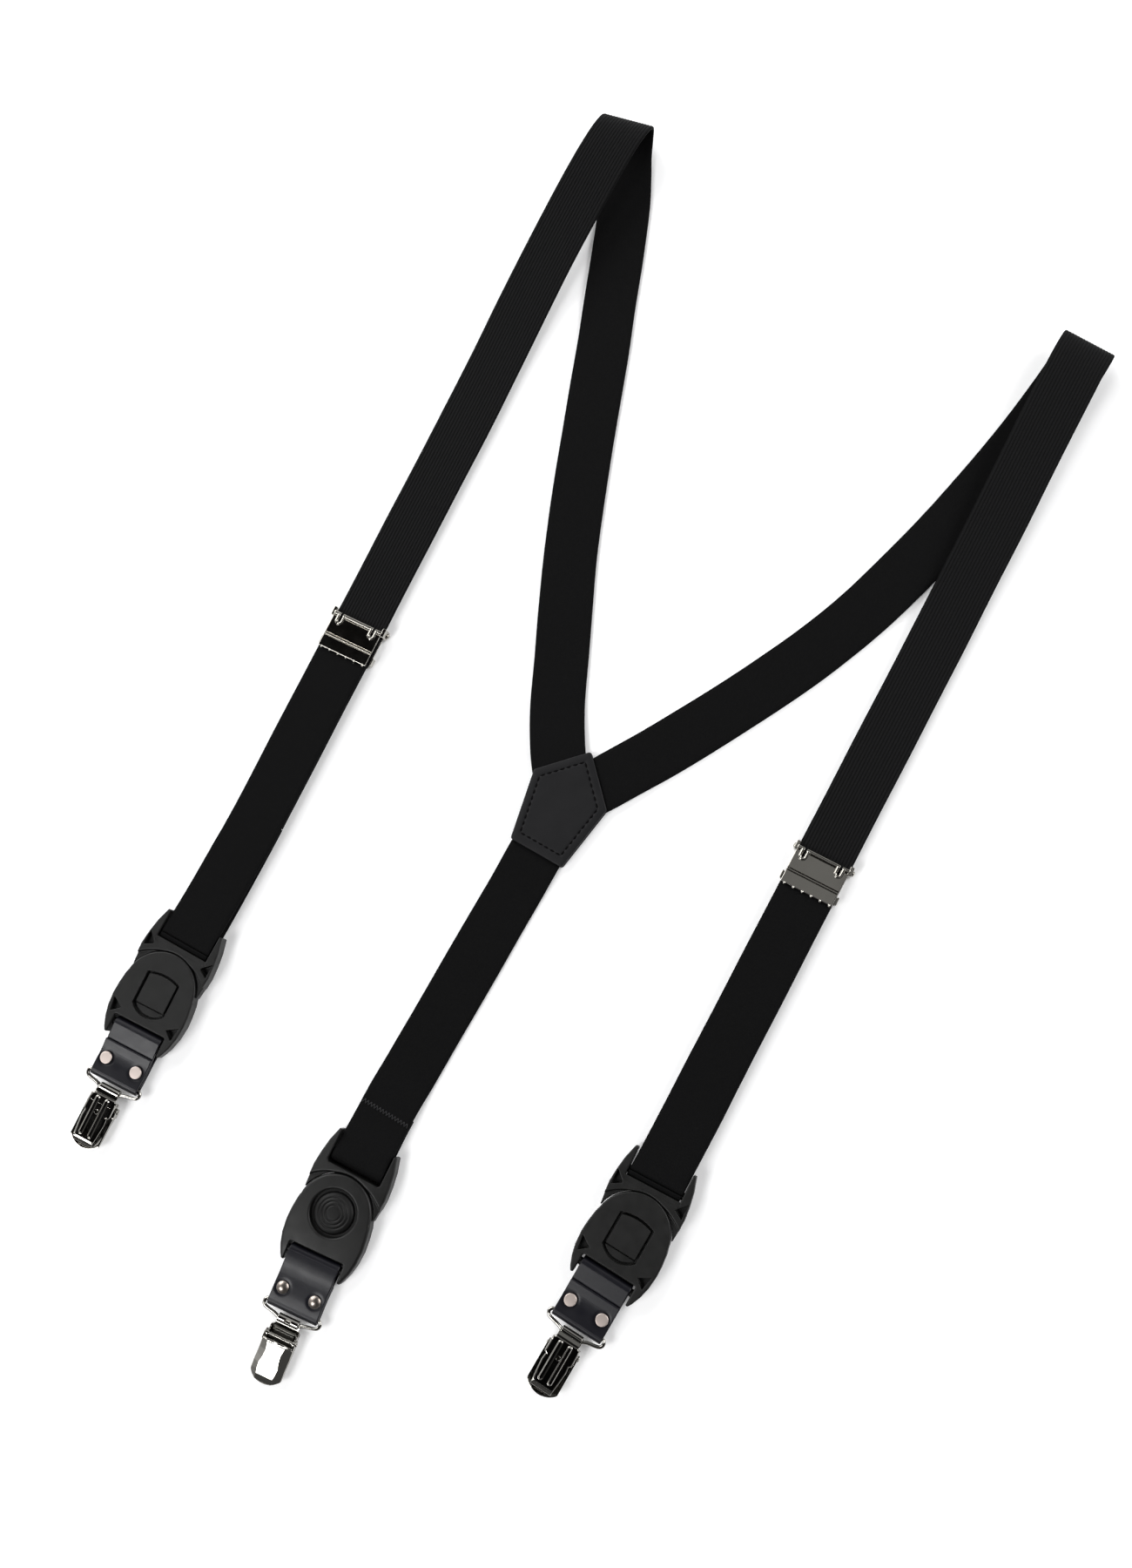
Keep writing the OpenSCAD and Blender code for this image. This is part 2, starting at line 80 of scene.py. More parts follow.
def floor():
    me = bpy.data.meshes.new("floor")
    s = 6
    me.from_pydata([(-s, -s, -0.0004), (s, -s, -0.0004), (s, s, -0.0004), (-s, s, -0.0004)], [], [(0, 1, 2, 3)])
    o = bpy.data.objects.new("floor", me)
    bpy.context.scene.collection.objects.link(o)
    m = bpy.data.materials.new("floor")
    t = nodes_of(m)
    b = t.nodes.new("ShaderNodeBsdfPrincipled")
    b.inputs["Base Color"].default_value = (0.95, 0.95, 0.955, 1)
    b.inputs["Roughness"].default_value = 0.7
    b.inputs["Specular IOR Level"].default_value = 0.15
    b.inputs["Emission Color"].default_value = (1, 1, 1, 1)
    b.inputs["Emission Strength"].default_value = 0.14
    out = t.nodes.new("ShaderNodeOutputMaterial")
    t.links.new(b.outputs[0], out.inputs[0])
    me.materials.append(m)

floor()
# large soft key from the upper left of the picture, fill from the right, and a bright overhead sheet
C = Vector((0, 0, 0))
def pic(x, y, z):
    """a point x to the picture's right, y to its top and z above the table"""
    r = Vector((RIGHT.x, RIGHT.y, 0)).normalized()
    u = Vector((UP.x, UP.y, 0)).normalized()
    return r * x + u * y + Vector((0, 0, z))
def aim(name, off, az, dist, size, radiance):
    """a square soft box seen from the table at the angle off vertical and the picture azimuth given, degrees"""
    o, a = math.radians(off), math.radians(az)
    at = pic(math.sin(o) * math.cos(a) * dist, math.sin(o) * math.sin(a) * dist, math.cos(o) * dist)
    area(name, at, C, size, radiance * math.pi * size * size)
aim("key", 40, -142, 2.38, 0.9, 10.5)
aim("upper_left", 58, 132, 2.5, 1.9, 4.4)
aim("fill", 58, 12, 2.6, 1.8, 6.0)
aim("over", 5, 85, 2.6, 0.65, 0.28)
w = bpy.data.worlds.new("world")
bpy.context.scene.world = w
w.use_nodes = True
def surround():
    """pale walls all round and a dim ceiling, by the height of the direction looked in"""
    t = w.node_tree
    bg = t.nodes["Background"]
    c, s = t.nodes.new("ShaderNodeTexCoord"), t.nodes.new("ShaderNodeSeparateXYZ")
    r = t.nodes.new("ShaderNodeMapRange")
    r.interpolation_type = "SMOOTHSTEP"
    r.inputs["From Min"].default_value, r.inputs["From Max"].default_value = 0.58, 0.88
    r.inputs["To Min"].default_value, r.inputs["To Max"].default_value = 0.95, 0.02
    t.links.new(c.outputs["Generated"], s.inputs[0])
    t.links.new(s.outputs[2], r.inputs["Value"])
    bg.inputs[0].default_value = (1, 1, 1, 1)
    # the walls are pale on the key's side and dark on the other
    d = t.nodes.new("ShaderNodeVectorMath")
    d.operation = "DOT_PRODUCT"
    d.inputs[1].default_value = tuple(pic(math.cos(math.radians(122)), math.sin(math.radians(122)), 0))
    q = t.nodes.new("ShaderNodeMapRange")
    q.interpolation_type = "SMOOTHSTEP"
    q.inputs["From Min"].default_value, q.inputs["From Max"].default_value = 0.05, 0.9
    q.inputs["To Min"].default_value, q.inputs["To Max"].default_value = 0.12, 1.0
    x = t.nodes.new("ShaderNodeMath")
    x.operation = "MULTIPLY"
    t.links.new(c.outputs["Generated"], d.inputs[0])
    t.links.new(d.outputs["Value"], q.inputs["Value"])
    t.links.new(r.outputs[0], x.inputs[0])
    t.links.new(q.outputs[0], x.inputs[1])
    t.links.new(x.outputs[0], bg.inputs[1])
surround()
bpy.context.scene.view_settings.view_transform = "Standard"

# ------------------------------------------------------------------ distance fields (millimetres)
def cap(*a):
    return np.maximum.reduce(a)

def rect(x, y, x0, x1, y0, y1, r=0.0):
    dx, dy = np.abs(x - (x0 + x1) / 2) - (x1 - x0) / 2 + r, np.abs(y - (y0 + y1) / 2) - (y1 - y0) / 2 + r
    return np.minimum(np.maximum(dx, dy), 0) + np.hypot(np.maximum(dx, 0), np.maximum(dy, 0)) - r

def ext(d, z, z0, z1, r=0.0):
    a, b = d + r, np.abs(z - (z0 + z1) / 2) - (z1 - z0) / 2 + r
    return np.minimum(np.maximum(a, b), 0) + np.hypot(np.maximum(a, 0), np.maximum(b, 0)) - r

def poly(x, y, pts):
    best, sign = np.full(x.shape, 1e9), np.ones(x.shape)
    n = len(pts)
    for i in range(n):
        (ax, ay), (bx, by) = pts[i], pts[i - 1]
        ex, ey = bx - ax, by - ay
        wx, wy = x - ax, y - ay
        t = np.clip((wx * ex + wy * ey) / (ex * ex + ey * ey), 0, 1)
        best = np.minimum(best, (wx - ex * t) ** 2 + (wy - ey * t) ** 2)
        c1, c2, c3 = y >= ay, y < by, ex * wy > ey * wx
        flip = (c1 & c2 & c3) | (~c1 & ~c2 & ~c3)
        sign = np.where(flip, -sign, sign)
    return sign * np.sqrt(best)

def line2(x, y, pts):
    best = np.full(x.shape, 1e9)
    for (ax, ay), (bx, by) in zip(pts[:-1], pts[1:]):
        ex, ey = bx - ax, by - ay
        t = np.clip(((x - ax) * ex + (y - ay) * ey) / (ex * ex + ey * ey + 1e-12), 0, 1)
        best = np.minimum(best, (x - ax - ex * t) ** 2 + (y - ay - ey * t) ** 2)
    return np.sqrt(best)

def smin(a, b, k):
    h = np.clip(0.5 + 0.5 * (b - a) / k, 0, 1)
    return b * (1 - h) + a * h - k * h * (1 - h)

def smax(a, b, k):
    return -smin(-a, -b, k)

def cyl(x, y, z, r, z0, z1, rr=0.0):
    return ext(np.hypot(x, y) - r, z, z0, z1, rr)

def rod(x, y, z, r, hx, cy, cz, rr=0.0):
    return ext(np.hypot(y - cy, z - cz) - r, x, -hx, hx, rr)

def smooth_loop(pts, n=6):
    out, m = [], len(pts)
    for i in range(m):
        a, b, c, d = (np.array(pts[(i + k - 1) % m], float) for k in range(4))
        for k in range(n):
            t = k / n
            out.append(0.5 * (2 * b + (c - a) * t + (2 * a - 5 * b + 4 * c - d) * t * t + (3 * b - a - 3 * c + d) * t ** 3))
    return [tuple(p) for p in out]

EDGES = [(c, c | (1 << d)) for c in range(8) for d in range(3) if not c & (1 << d)]

def nets(f, lo, hi, h):
    """one closed surface where the field f is zero, as vertices in mm, quads and normals"""
    lo, hi = np.array(lo, float), np.array(hi, float)
    n = np.ceil((hi - lo) / h).astype(int) + 1
    g = np.meshgrid(*[lo[i] + h * np.arange(n[i]) for i in range(3)], indexing="ij")
    V = f(*g)
    S = V < 0
    off = [np.array([(c >> d) & 1 for d in range(3)]) for c in range(8)]
    cnt = sum(S[o[0]:n[0] - 1 + o[0], o[1]:n[1] - 1 + o[1], o[2]:n[2] - 1 + o[2]].astype(np.int8) for o in off)
    mask = (cnt > 0) & (cnt < 8)
    I = np.argwhere(mask)
    index = np.full(mask.shape, -1, int)
    index[mask] = np.arange(len(I))
    acc, num = np.zeros((len(I), 3)), np.zeros(len(I))
    for a, b in EDGES:
        ia, ib = I + off[a], I + off[b]
        va, vb = V[tuple(ia.T)], V[tuple(ib.T)]
        cross = (va < 0) != (vb < 0)
        t = np.where(cross, va / np.where(cross, va - vb, 1), 0)
        acc += (off[a] + t[:, None] * (off[b] - off[a])) * cross[:, None]
        num += cross
    P = lo + (I + acc / num[:, None]) * h
    quads = []
    for d in range(3):
        u, v = (d + 1) % 3, (d + 2) % 3
        lo_s, hi_s = [slice(1, None)] * 3, [slice(1, None)] * 3
        lo_s[d], hi_s[d] = slice(0, -1), slice(1, None)
        A, B = S[tuple(lo_s)], S[tuple(hi_s)]
        E = np.argwhere(A != B)
        E2 = E.copy()
        E2[:, u] += 1
        E2[:, v] += 1
        inside = A[tuple(E.T)]
        du, dv = np.zeros(3, int), np.zeros(3, int)
        du[u], dv[v] = 1, 1
        ok = np.all(E2 < np.array(mask.shape), axis=1)
        E2, inside = E2[ok], inside[ok]
        q = np.stack([index[tuple((E2 - du - dv).T)], index[tuple((E2 - dv).T)], index[tuple(E2.T)], index[tuple((E2 - du).T)]], 1)
        q[~inside] = q[~inside][:, ::-1]
        quads.append(q)
    Q = np.concatenate(quads)
    return P, Q[(Q >= 0).all(1)]

def gradient(f, P, e=0.03):
    G = np.zeros_like(P)
    for d in range(3):
        a, b = P.copy(), P.copy()
        a[:, d] += e
        b[:, d] -= e
        G[:, d] = (f(*a.T) - f(*b.T)) / (2 * e)
    return G

def snap(f, P, h, steps=3):
    for _ in range(steps):
        G = gradient(f, P)
        s = f(*P.T) / np.maximum((G ** 2).sum(1), 0.2)
        P = P - np.clip(s, -h / 2, h / 2)[:, None] * G
    G = gradient(f, P)
    return P, G / np.maximum(np.linalg.norm(G, axis=1), 1e-9)[:, None]

MESHES = {}
def solid(name, f, lo, hi, h, keep=0.4):
    """mesh data of the field f, made once and shared by the copies; keep is the share of faces left"""
    if name in MESHES:
        return MESHES[name]
    P, Q = nets(f, lo, hi, h)
    P, N = snap(f, P, h, 2)
    me = bpy.data.meshes.new(name)
    me.from_pydata(P.tolist(), [], Q.tolist())
    if keep < 1:
        o = bpy.data.objects.new("tmp", me)
        bpy.context.scene.collection.objects.link(o)
        m = o.modifiers.new("d", "DECIMATE")
        m.ratio = keep
        dg = bpy.context.evaluated_depsgraph_get()
        me2 = bpy.data.meshes.new_from_object(o.evaluated_get(dg))
        bpy.data.objects.remove(o)
        bpy.data.meshes.remove(me)
        me = me2
        P = np.array([v.co for v in me.vertices])
        P, N = snap(f, P, h, 2)
        me.vertices.foreach_set("co", P.astype(np.float32).ravel())
    me.name = name
    me.update()
    me.polygons.foreach_set("use_smooth", [True] * len(me.polygons))
    me.normals_split_custom_set_from_vertices([tuple(n) for n in N])
    me.transform(Matrix.Scale(MM, 4))
    MESHES[name] = me
    return me

def put(name, me, M, body, slot_, material, *cad):
    """a copy of mesh me placed by M (in mm), riding on body and standing for its CAD nodes"""
    data = me.copy()
    data.name = name
    data.materials.clear()
    data.materials.append(material)
    o = bpy.data.objects.new(name, data)
    bpy.context.scene.collection.objects.link(o)
    W = M.copy()
    W.translation = W.translation * MM
    o.matrix_world = W
    if body:
        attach(o, body)
    if cad:
        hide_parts(*cad)
    return o

# ------------------------------------------------------------------ where the groups sit
H = 8.5
GX, GY, GH, GS, GF = [-111, 124, 8.8], [-168.5, -152.2, -211], [91.5, 93, 93.5], [2.5, -4, 3.5], [True, True, False]
AX, AY, AH = [-118.6, 118.3], [12.5, 19.6], [93.4, 91.75]
SIDE = ["left", "right", "back"]

def place(g, turn):
    m = Matrix.Translation((GX[g] + OX, GY[g] + OY, 0)) @ Matrix.Rotation(math.radians(GH[g] + turn - 90), 4, "Z")
    if GF[g]:
        m = m @ Matrix.Translation((0, 0, H)) @ Matrix.Rotation(math.pi, 4, "Y")
    return m

def place_adjuster(a):
    return Matrix.Translation((AX[a] + OX, AY[a] + OY, 0)) @ Matrix.Rotation(math.radians(AH[a] - 90), 4, "Z")

# ------------------------------------------------------------------ finishes
def material(name, color, rough, metal=0.0, spec=0.5, bumps=(), vary=0.0, vary_scale=60.0, rough_vary=0.0, uv=None, coat=0.0, sheen=0.0):
    """procedural finish. bumps: (kind, scale per metre, strength, distance m); uv: function adding web or weave detail"""
    m = bpy.data.materials.new(name)
    t = nodes_of(m)
    N, L = t.nodes.new, t.links.new
    b = N("ShaderNodeBsdfPrincipled")
    out = N("ShaderNodeOutputMaterial")
    L(b.outputs[0], out.inputs[0])
    b.inputs["Metallic"].default_value = metal
    b.inputs["Roughness"].default_value = rough
    b.inputs["Specular IOR Level"].default_value = spec
    b.inputs["Coat Weight"].default_value = coat
    b.inputs["Sheen Weight"].default_value = sheen
    b.inputs["Sheen Roughness"].default_value = 0.4
    b.inputs["Base Color"].default_value = (*color, 1)
    co = N("ShaderNodeTexCoord")
    if vary:
        n = N("ShaderNodeTexNoise")
        n.inputs["Scale"].default_value = vary_scale
        n.inputs["Detail"].default_value = 5
        L(co.outputs["Object"], n.inputs["Vector"])
        r = N("ShaderNodeMapRange")
        r.inputs["From Min"].default_value, r.inputs["From Max"].default_value = 0.3, 0.7
        r.inputs["To Min"].default_value, r.inputs["To Max"].default_value = 1 - vary, 1 + vary
        L(n.outputs[0], r.inputs["Value"])
        x = N("ShaderNodeVectorMath")
        x.operation = "SCALE"
        x.inputs[0].default_value = color
        L(r.outputs[0], x.inputs["Scale"])
        L(x.outputs[0], b.inputs["Base Color"])
    if rough_vary:
        n = N("ShaderNodeTexNoise")
        n.inputs["Scale"].default_value = vary_scale * 3
        n.inputs["Detail"].default_value = 6
        L(co.outputs["Object"], n.inputs["Vector"])
        r = N("ShaderNodeMapRange")
        r.inputs["From Min"].default_value, r.inputs["From Max"].default_value = 0.3, 0.7
        r.inputs["To Min"].default_value, r.inputs["To Max"].default_value = max(rough - rough_vary, 0.02), rough + rough_vary
        L(n.outputs[0], r.inputs["Value"])
        L(r.outputs[0], b.inputs["Roughness"])
    last = None
    def add_bump(height, strength, distance):
        nonlocal last
        p = N("ShaderNodeBump")
        p.inputs["Strength"].default_value = strength
        p.inputs["Distance"].default_value = distance
        L(height, p.inputs["Height"])
        if last is not None:
            L(last, p.inputs["Normal"])
        last = p.outputs[0]
    for kind, scale, strength, distance in bumps:
        if kind == "noise":
            n = N("ShaderNodeTexNoise")
            n.inputs["Detail"].default_value = 3
            o = n.outputs[0]
        else:
            n = N("ShaderNodeTexVoronoi")
            n.feature = "SMOOTH_F1"
            o = n.outputs["Distance"]
        n.inputs["Scale"].default_value = scale
        L(co.outputs["Object"], n.inputs["Vector"])
        add_bump(o, strength, distance)
    if uv:
        uv(t, N, L, co, b, add_bump)
    if last is not None:
        L(last, b.inputs["Normal"])
    return m

def weave(pitch_u, pitch_v, strength, color, contrast, rib=None):
    """crossed threads along the web's own length and width, which the uv map holds in metres"""
    def add(t, N, L, co, b, bump):
        sep = N("ShaderNodeSeparateXYZ")
        L(co.outputs["UV"], sep.inputs[0])
        def wave(socket, pitch, phase=None):
            k = N("ShaderNodeMath")
            k.operation = "MULTIPLY"
            k.inputs[1].default_value = 2 * math.pi / pitch
            L(socket, k.inputs[0])
            src = k.outputs[0]
            if phase is not None:
                a = N("ShaderNodeMath")
                a.operation = "ADD"
                L(src, a.inputs[0])
                L(phase, a.inputs[1])
                src = a.outputs[0]
            s = N("ShaderNodeMath")
            s.operation = "SINE"
            L(src, s.inputs[0])
            return s.outputs[0]
        u = wave(sep.outputs[0], pitch_u)
        # every other thread along the web shifts the crosswise bumps by half a step
        sg = N("ShaderNodeMath")
        sg.operation = "SIGN"
        half = wave(sep.outputs[0], pitch_u * 2)
        L(half, sg.inputs[0])
        ph = N("ShaderNodeMath")
        ph.operation = "MULTIPLY"
        ph.inputs[1].default_value = math.pi / 2
        L(sg.outputs[0], ph.inputs[0])
        v = wave(sep.outputs[1], pitch_v, ph.outputs[0])
        m = N("ShaderNodeMath")
        m.operation = "MULTIPLY"
        L(u, m.inputs[0])
        L(u, m.inputs[1])
        h = N("ShaderNodeMath")
        h.operation = "ADD"
        L(v, h.inputs[0])
        L(m.outputs[0], h.inputs[1])
        bump(h.outputs[0], strength, 0.00006)
        r = N("ShaderNodeMapRange")
        r.inputs["From Min"].default_value, r.inputs["From Max"].default_value = -1, 2
        r.inputs["To Min"].default_value, r.inputs["To Max"].default_value = 1 - contrast, 1 + contrast
        L(h.outputs[0], r.inputs["Value"])
        x = N("ShaderNodeVectorMath")
        x.operation = "SCALE"
        x.inputs[0].default_value = color
        L(r.outputs[0], x.inputs["Scale"])
        if rib:
            # painted shade and highlight: the colour is darkened in the grooves between the ribs and lightened on the
            # rib tops
            k = N("ShaderNodeMath")
            k.operation = "MULTIPLY"
            k.inputs[1].default_value = 2 * math.pi / rib
            L(sep.outputs[0], k.inputs[0])
            c = N("ShaderNodeMath")
            c.operation = "COSINE"
            L(k.outputs[0], c.inputs[0])
            g = N("ShaderNodeMapRange")
            g.inputs["From Min"].default_value, g.inputs["From Max"].default_value = -1, 0.1
            g.inputs["To Min"].default_value, g.inputs["To Max"].default_value = 0.1, 1.6
            L(c.outputs[0], g.inputs["Value"])
            y = N("ShaderNodeVectorMath")
            y.operation = "SCALE"
            L(x.outputs[0], y.inputs[0])
            L(g.outputs[0], y.inputs["Scale"])
            x = y
            bump(g.outputs[0], 0.6, 0.0002)
        L(x.outputs[0], b.inputs["Base Color"])
    return add

WEB = (0.0019, 0.0019, 0.00205)
M_RIB = material("webbing_ribbed", WEB, 0.8, spec=0.12, sheen=0.015, uv=weave(0.00049, 0.0007, 0.45, (0.0026, 0.0026, 0.0028), 0.4, 0.0242 / 17))
M_WEB = material("webbing_smooth", WEB, 0.82, spec=0.09, sheen=0.012, uv=weave(0.00042, 0.0006, 0.4, WEB, 0.35))
M_THREAD = material("thread", (0.006, 0.006, 0.007), 0.6, spec=0.4, bumps=[("noise", 3000, 0.4, 0.0001)])
M_PATCH = material("patch_leather", (0.0034, 0.0034, 0.0042), 0.5, spec=0.26, bumps=[("voronoi", 1500, 0.2, 0.00005), ("noise", 700, 0.06, 0.0002)], vary=0.06, rough_vary=0.03)
M_EDGE = material("leather_edge", (0.02, 0.02, 0.024), 0.62, spec=0.4, bumps=[("noise", 1800, 0.4, 0.0001)], vary=0.15)
M_TAB = material("tab_leather", (0.0036, 0.0036, 0.0062), 0.36, spec=0.32, bumps=[("voronoi", 1400, 0.12, 0.00005), ("noise", 500, 0.05, 0.0002)], vary=0.06, rough_vary=0.03)
M_PLASTIC = material("buckle_plastic", (0.004, 0.004, 0.0038), 0.46, spec=0.3, bumps=[("noise", 4500, 0.12, 0.00004)], vary=0.06, rough_vary=0.06)
# a lighter copy of the rivet metal, as painted light on the flat rear caps; caps and domes are the same metal
M_CAP_LIT = material("rivet_metal_cap_lit", (0.64, 0.555, 0.51), 0.42, metal=1, bumps=[("noise", 700, 0.02, 0.0001)], vary=0.05, rough_vary=0.04)
M_RIVET = material("rivet_metal", (0.29, 0.255, 0.23), 0.32, metal=1, bumps=[("noise", 700, 0.02, 0.0001)], vary=0.06, rough_vary=0.04)
M_CLIP = material("clip_metal", (0.36, 0.35, 0.325), 0.075, metal=1, bumps=[("noise", 160, 0.03, 0.0004)], vary=0.05, rough_vary=0.03)
M_ADJ = material("adjuster_metal", (0.42, 0.406, 0.37), 0.09, metal=1, bumps=[("noise", 110, 0.07, 0.0008)], vary=0.05, rough_vary=0.03)
M_JAW = material("jaw_metal", (0.09, 0.088, 0.08), 0.35, metal=1, bumps=[("noise", 1500, 0.15, 0.0001)], vary=0.1)
M_BUTTON = material("button_plastic", (0.0026, 0.0026, 0.0025), 0.5, spec=0.22, bumps=[("noise", 4500, 0.1, 0.00004)], vary=0.05, rough_vary=0.05)
M_STITCH = material("patch_thread", (0.0009, 0.0009, 0.001), 0.8, spec=0.08, bumps=[("noise", 3000, 0.3, 0.0001)])
M_SPRING = material("spring_steel", (0.5, 0.5, 0.52), 0.3, metal=1, vary=0.05)

# ------------------------------------------------------------------ buckle shapes, local mm, front face up
frame_half = [(13, 33.5), (14.4, 33.4), (15.1, 31), (16.3, 27), (17.3, 21), (17.9, 15), (17.6, 10), (17.1, 4.6)]
house_half = [(16.9, 1.5), (17.5, 0), (18.2, -5), (18.5, -10), (18, -16), (16.8, -21), (15.2, -25), (14.2, -26.7), (13, -26.9)]
def mirrored(p):
    return [(-x, y) for x, y in reversed(p)]
FRAME_2D, HOUSE_2D = frame_half + mirrored(frame_half), house_half + mirrored(house_half)

def cores(x, y, z, tris):
    d = np.full(x.shape, 1e9)
    for t in tris:
        d = np.minimum(d, poly(np.abs(x), y, t))
    return ext(d + 0.0, z, -1, 3.0, 0.2)

def f_frame(x, y, z):
    r = np.hypot(x, y)
    out = poly(x, y, FRAME_2D)
    top = 8.45 - 0.9 * (np.abs(x) / 17.5) ** 2.6
    arc = 25.6 - np.hypot(x, y + 8.75)
    body = cap(out, arc, 17.3 - r)
    solid_ = smax(smax(body, z - top, 1.1), -z, 0.7)
    # the sloping crescent between the arc and the round housing
    low = cap(out, 17.3 - r, -arc - 0.8)
    slope = 6.5 - 0.12 * np.maximum(r - 17.3, 0)
    low = smax(smax(low, z - slope, 0.5), 1.6 - z, 0.5)
    d = smin(solid_, low, 0.5)
    slot = rect(x, y, -13, 13, 18.6, 40, 1.2)
    d = smax(d, -slot, 0.6)
    d = np.minimum(d, rod(x, y, z, 1.75, 13.6, 23.2, 4.0))
    # sunk shelf along the foot of the slot, under the web's turn
    d = smin(d, ext(rect(x, y, -13.2, 13.2, 17.9, 20.7, 0.3), z, 0.05, 1.0, 0.2), 0.2)
    g = ext(rect(r, z, 17.5, 18.05, 2.3, 4.9), np.abs(np.degrees(np.arctan2(x, y))), -36, 36)
    groove = cap(np.minimum(rect(r, z, 17.5, 18.05, 2.3, 4.9), rect(r, z, 16.4, 17.6, 2.8, 4.4)), (np.abs(x) - 10.2))
    groove = np.where(y > 0, groove, 9)
    d = np.maximum(d, -groove)
    d = smax(d, -cores(x, y, z, [[(16.7, 21.2), (16.6, 14.4), (12.6, 16.7), (13.3, 17.9)]]), 0.3)
    return d

def f_house(x, y, z):
    r = np.hypot(x, y)
    out = smin(poly(x, y, HOUSE_2D), r - 17, 0.8)
    top = 8.45 - 0.55 * (r / 18.0) ** 3
    d = smax(smax(out, z - top, 1.4), -z, 0.8)
    slot = rect(x, y, -13, 13, -40, -17.9, 0.9)
    d = smax(d, -slot, 0.7)
    d = np.minimum(d, rod(x, y, z, 1.75, 13.6, -21.5, 4.0))
    d = np.maximum(d, -ext(rect(x, y, -7.8, 7.8, -12.5, 30), z, 2.7, 4.5))
    d = np.maximum(d, -cyl(x, y, z, 11.3, 4.2, 6.7))
    d = smax(d, -cyl(x, y, z, 10.4, 6.0, 12), 1.1)
    win = cap(rect(x, y, -8.25, 8.25, -14, 7.0, 0.15), np.hypot(x, y + 15) - 22, np.where(y > -2.8, -9, np.hypot(x, y + 2.8) - 11))
    # a plain panel fills the window, a groove all round it and its foot one step deeper
    d = smax(d, -ext(win, z, -2, 0.42), 0.2)
    d = np.maximum(d, -cap(win, -1.05 - win, z - 2.3, -2 - z))
    d = smax(d, -cap(win, y + 9.0, z - 1.5, -2 - z), 0.12)
    d = np.maximum(d, -cap(win, np.abs(y + 9.1) - 0.3, z - 2.0, -2 - z))
    d = smax(d, -cores(x, y, z, [[(16.9, -11.4), (15.8, -17.8), (11.8, -14.5)]]), 0.3)
    return d

def f_button(x, y, z):
    r = np.hypot(x, y)
    s = 58 - np.hypot(r, z - (7.95 - 58))
    groove = np.zeros_like(r)
    for q in (3.3, 5.0, 6.6):
        groove = groove + 0.2 * np.exp(-((r - q) / 0.3) ** 2) - 0.1 * np.exp(-((r - q - 0.75) / 0.4) ** 2)
    top = -(s) + groove
    d = smax(smax(r - 9.3, top, 1.9), 5.9 - z, 0.3)
    return np.minimum(d, cyl(x, y, z, 10.9, 5.78, 6.1, 0.1))

def f_tongue(x, y, z):
    r = np.hypot(x, y)
    plate = cap(rect(x, y, -7.4, 7.4, -8.5, 30, 0.4), r - 17.75)
    low = 2.9 + np.clip((-7.3 - y) * 0.55, 0, 0.7)
    d = smax(smax(plate, z - 4.3, 0.3), low - z, 0.25)
    head = cap(rect(r, z, 17.6, 17.95, 2.4, 4.8), np.abs(x) - 7.2)
    return np.minimum(d, np.where(y > 0, head, 9))

# ------------------------------------------------------------------ leather tab, rivets, ring
TT = 1.3
def arc_pts(cy, cz, r, a0, a1, n):
    return [(cy + r * math.cos(math.radians(a0 + (a1 - a0) * i / n)), cz + r * math.sin(math.radians(a0 + (a1 - a0) * i / n))) for i in range(n + 1)]
def eased(pts, n=4):
    """the same open path with rounded bends"""
    q = [pts[0]] + list(pts) + [pts[-1]]
    out = []
    for i in range(1, len(q) - 2):
        a, b, c, d = (np.array(q[i + k - 1], float) for k in range(4))
        for k in range(n):
            t = k / n
            out.append(tuple(0.5 * (2 * b + (c - a) * t + (2 * a - 5 * b + 4 * c - d) * t * t + (3 * b - a - 3 * c + d) * t ** 3)))
    return out + [tuple(pts[-1])]
TAB = [(-42.4, 4.35), (-38, 4.35), (-33, 3.9), (-27.5, 2.4)] + arc_pts(-21.5, 4.0, 1.75 + 0.2 + TT / 2, -96, 96, 14) + \
      eased([(-21.9, 6.6), (-24.2, 6.68), (-26.6, 6.58), (-29.2, 6.26), (-32, 6.1), (-36, 6.13), (-39, 6.13), (-41.6, 5.95), (-43.6, 5.72)]) + arc_pts(-44.3, 4.0, 0.85 + 0.2 + TT / 2, 84, 276, 12) + eased([(-44.0, 2.28), (-40, 2.4), (-37, 2.6), (-33.4, 2.4), (-29.8, 1.5)])

def f_tab(x, y, z):
    a = line2(y, z, TAB)
    dent = np.zeros_like(x)
    for s in (-1, 1):
        dent = dent + 0.22 * np.exp(-((np.hypot(x - s * 7.75, y + 37.2) - 2.9) / 0.8) ** 2)
    wav = 0.0
    return ext(a - TT / 2 + 0.04 + dent * (np.hypot(np.abs(x) - 7.75, y + 37.2) < 5) + wav, x, -12.0, 12.0, 0.42)

def f_rivet(x, y, z):
    r = np.hypot(x, y)
    shank = cyl(x, y, z, 1.4, 1.6, 6.9)
    rear = ext(r - 2.78, z, 0.9, 1.62, 0.3)
    dome = cap(np.hypot(r, z - 3.5) - 4.56, 6.74 - z)
    dome = smax(smax(r - 2.8, dome, 0.25), 6.74 - z, 0.12)
    return np.minimum(np.minimum(shank, rear), dome)

# ------------------------------------------------------------------ clip: y is measured from the roll
RY, CZ = -49.6, 4.0
def sheet_side(y, z, pts, t):
    return line2(y, z, pts) - t / 2

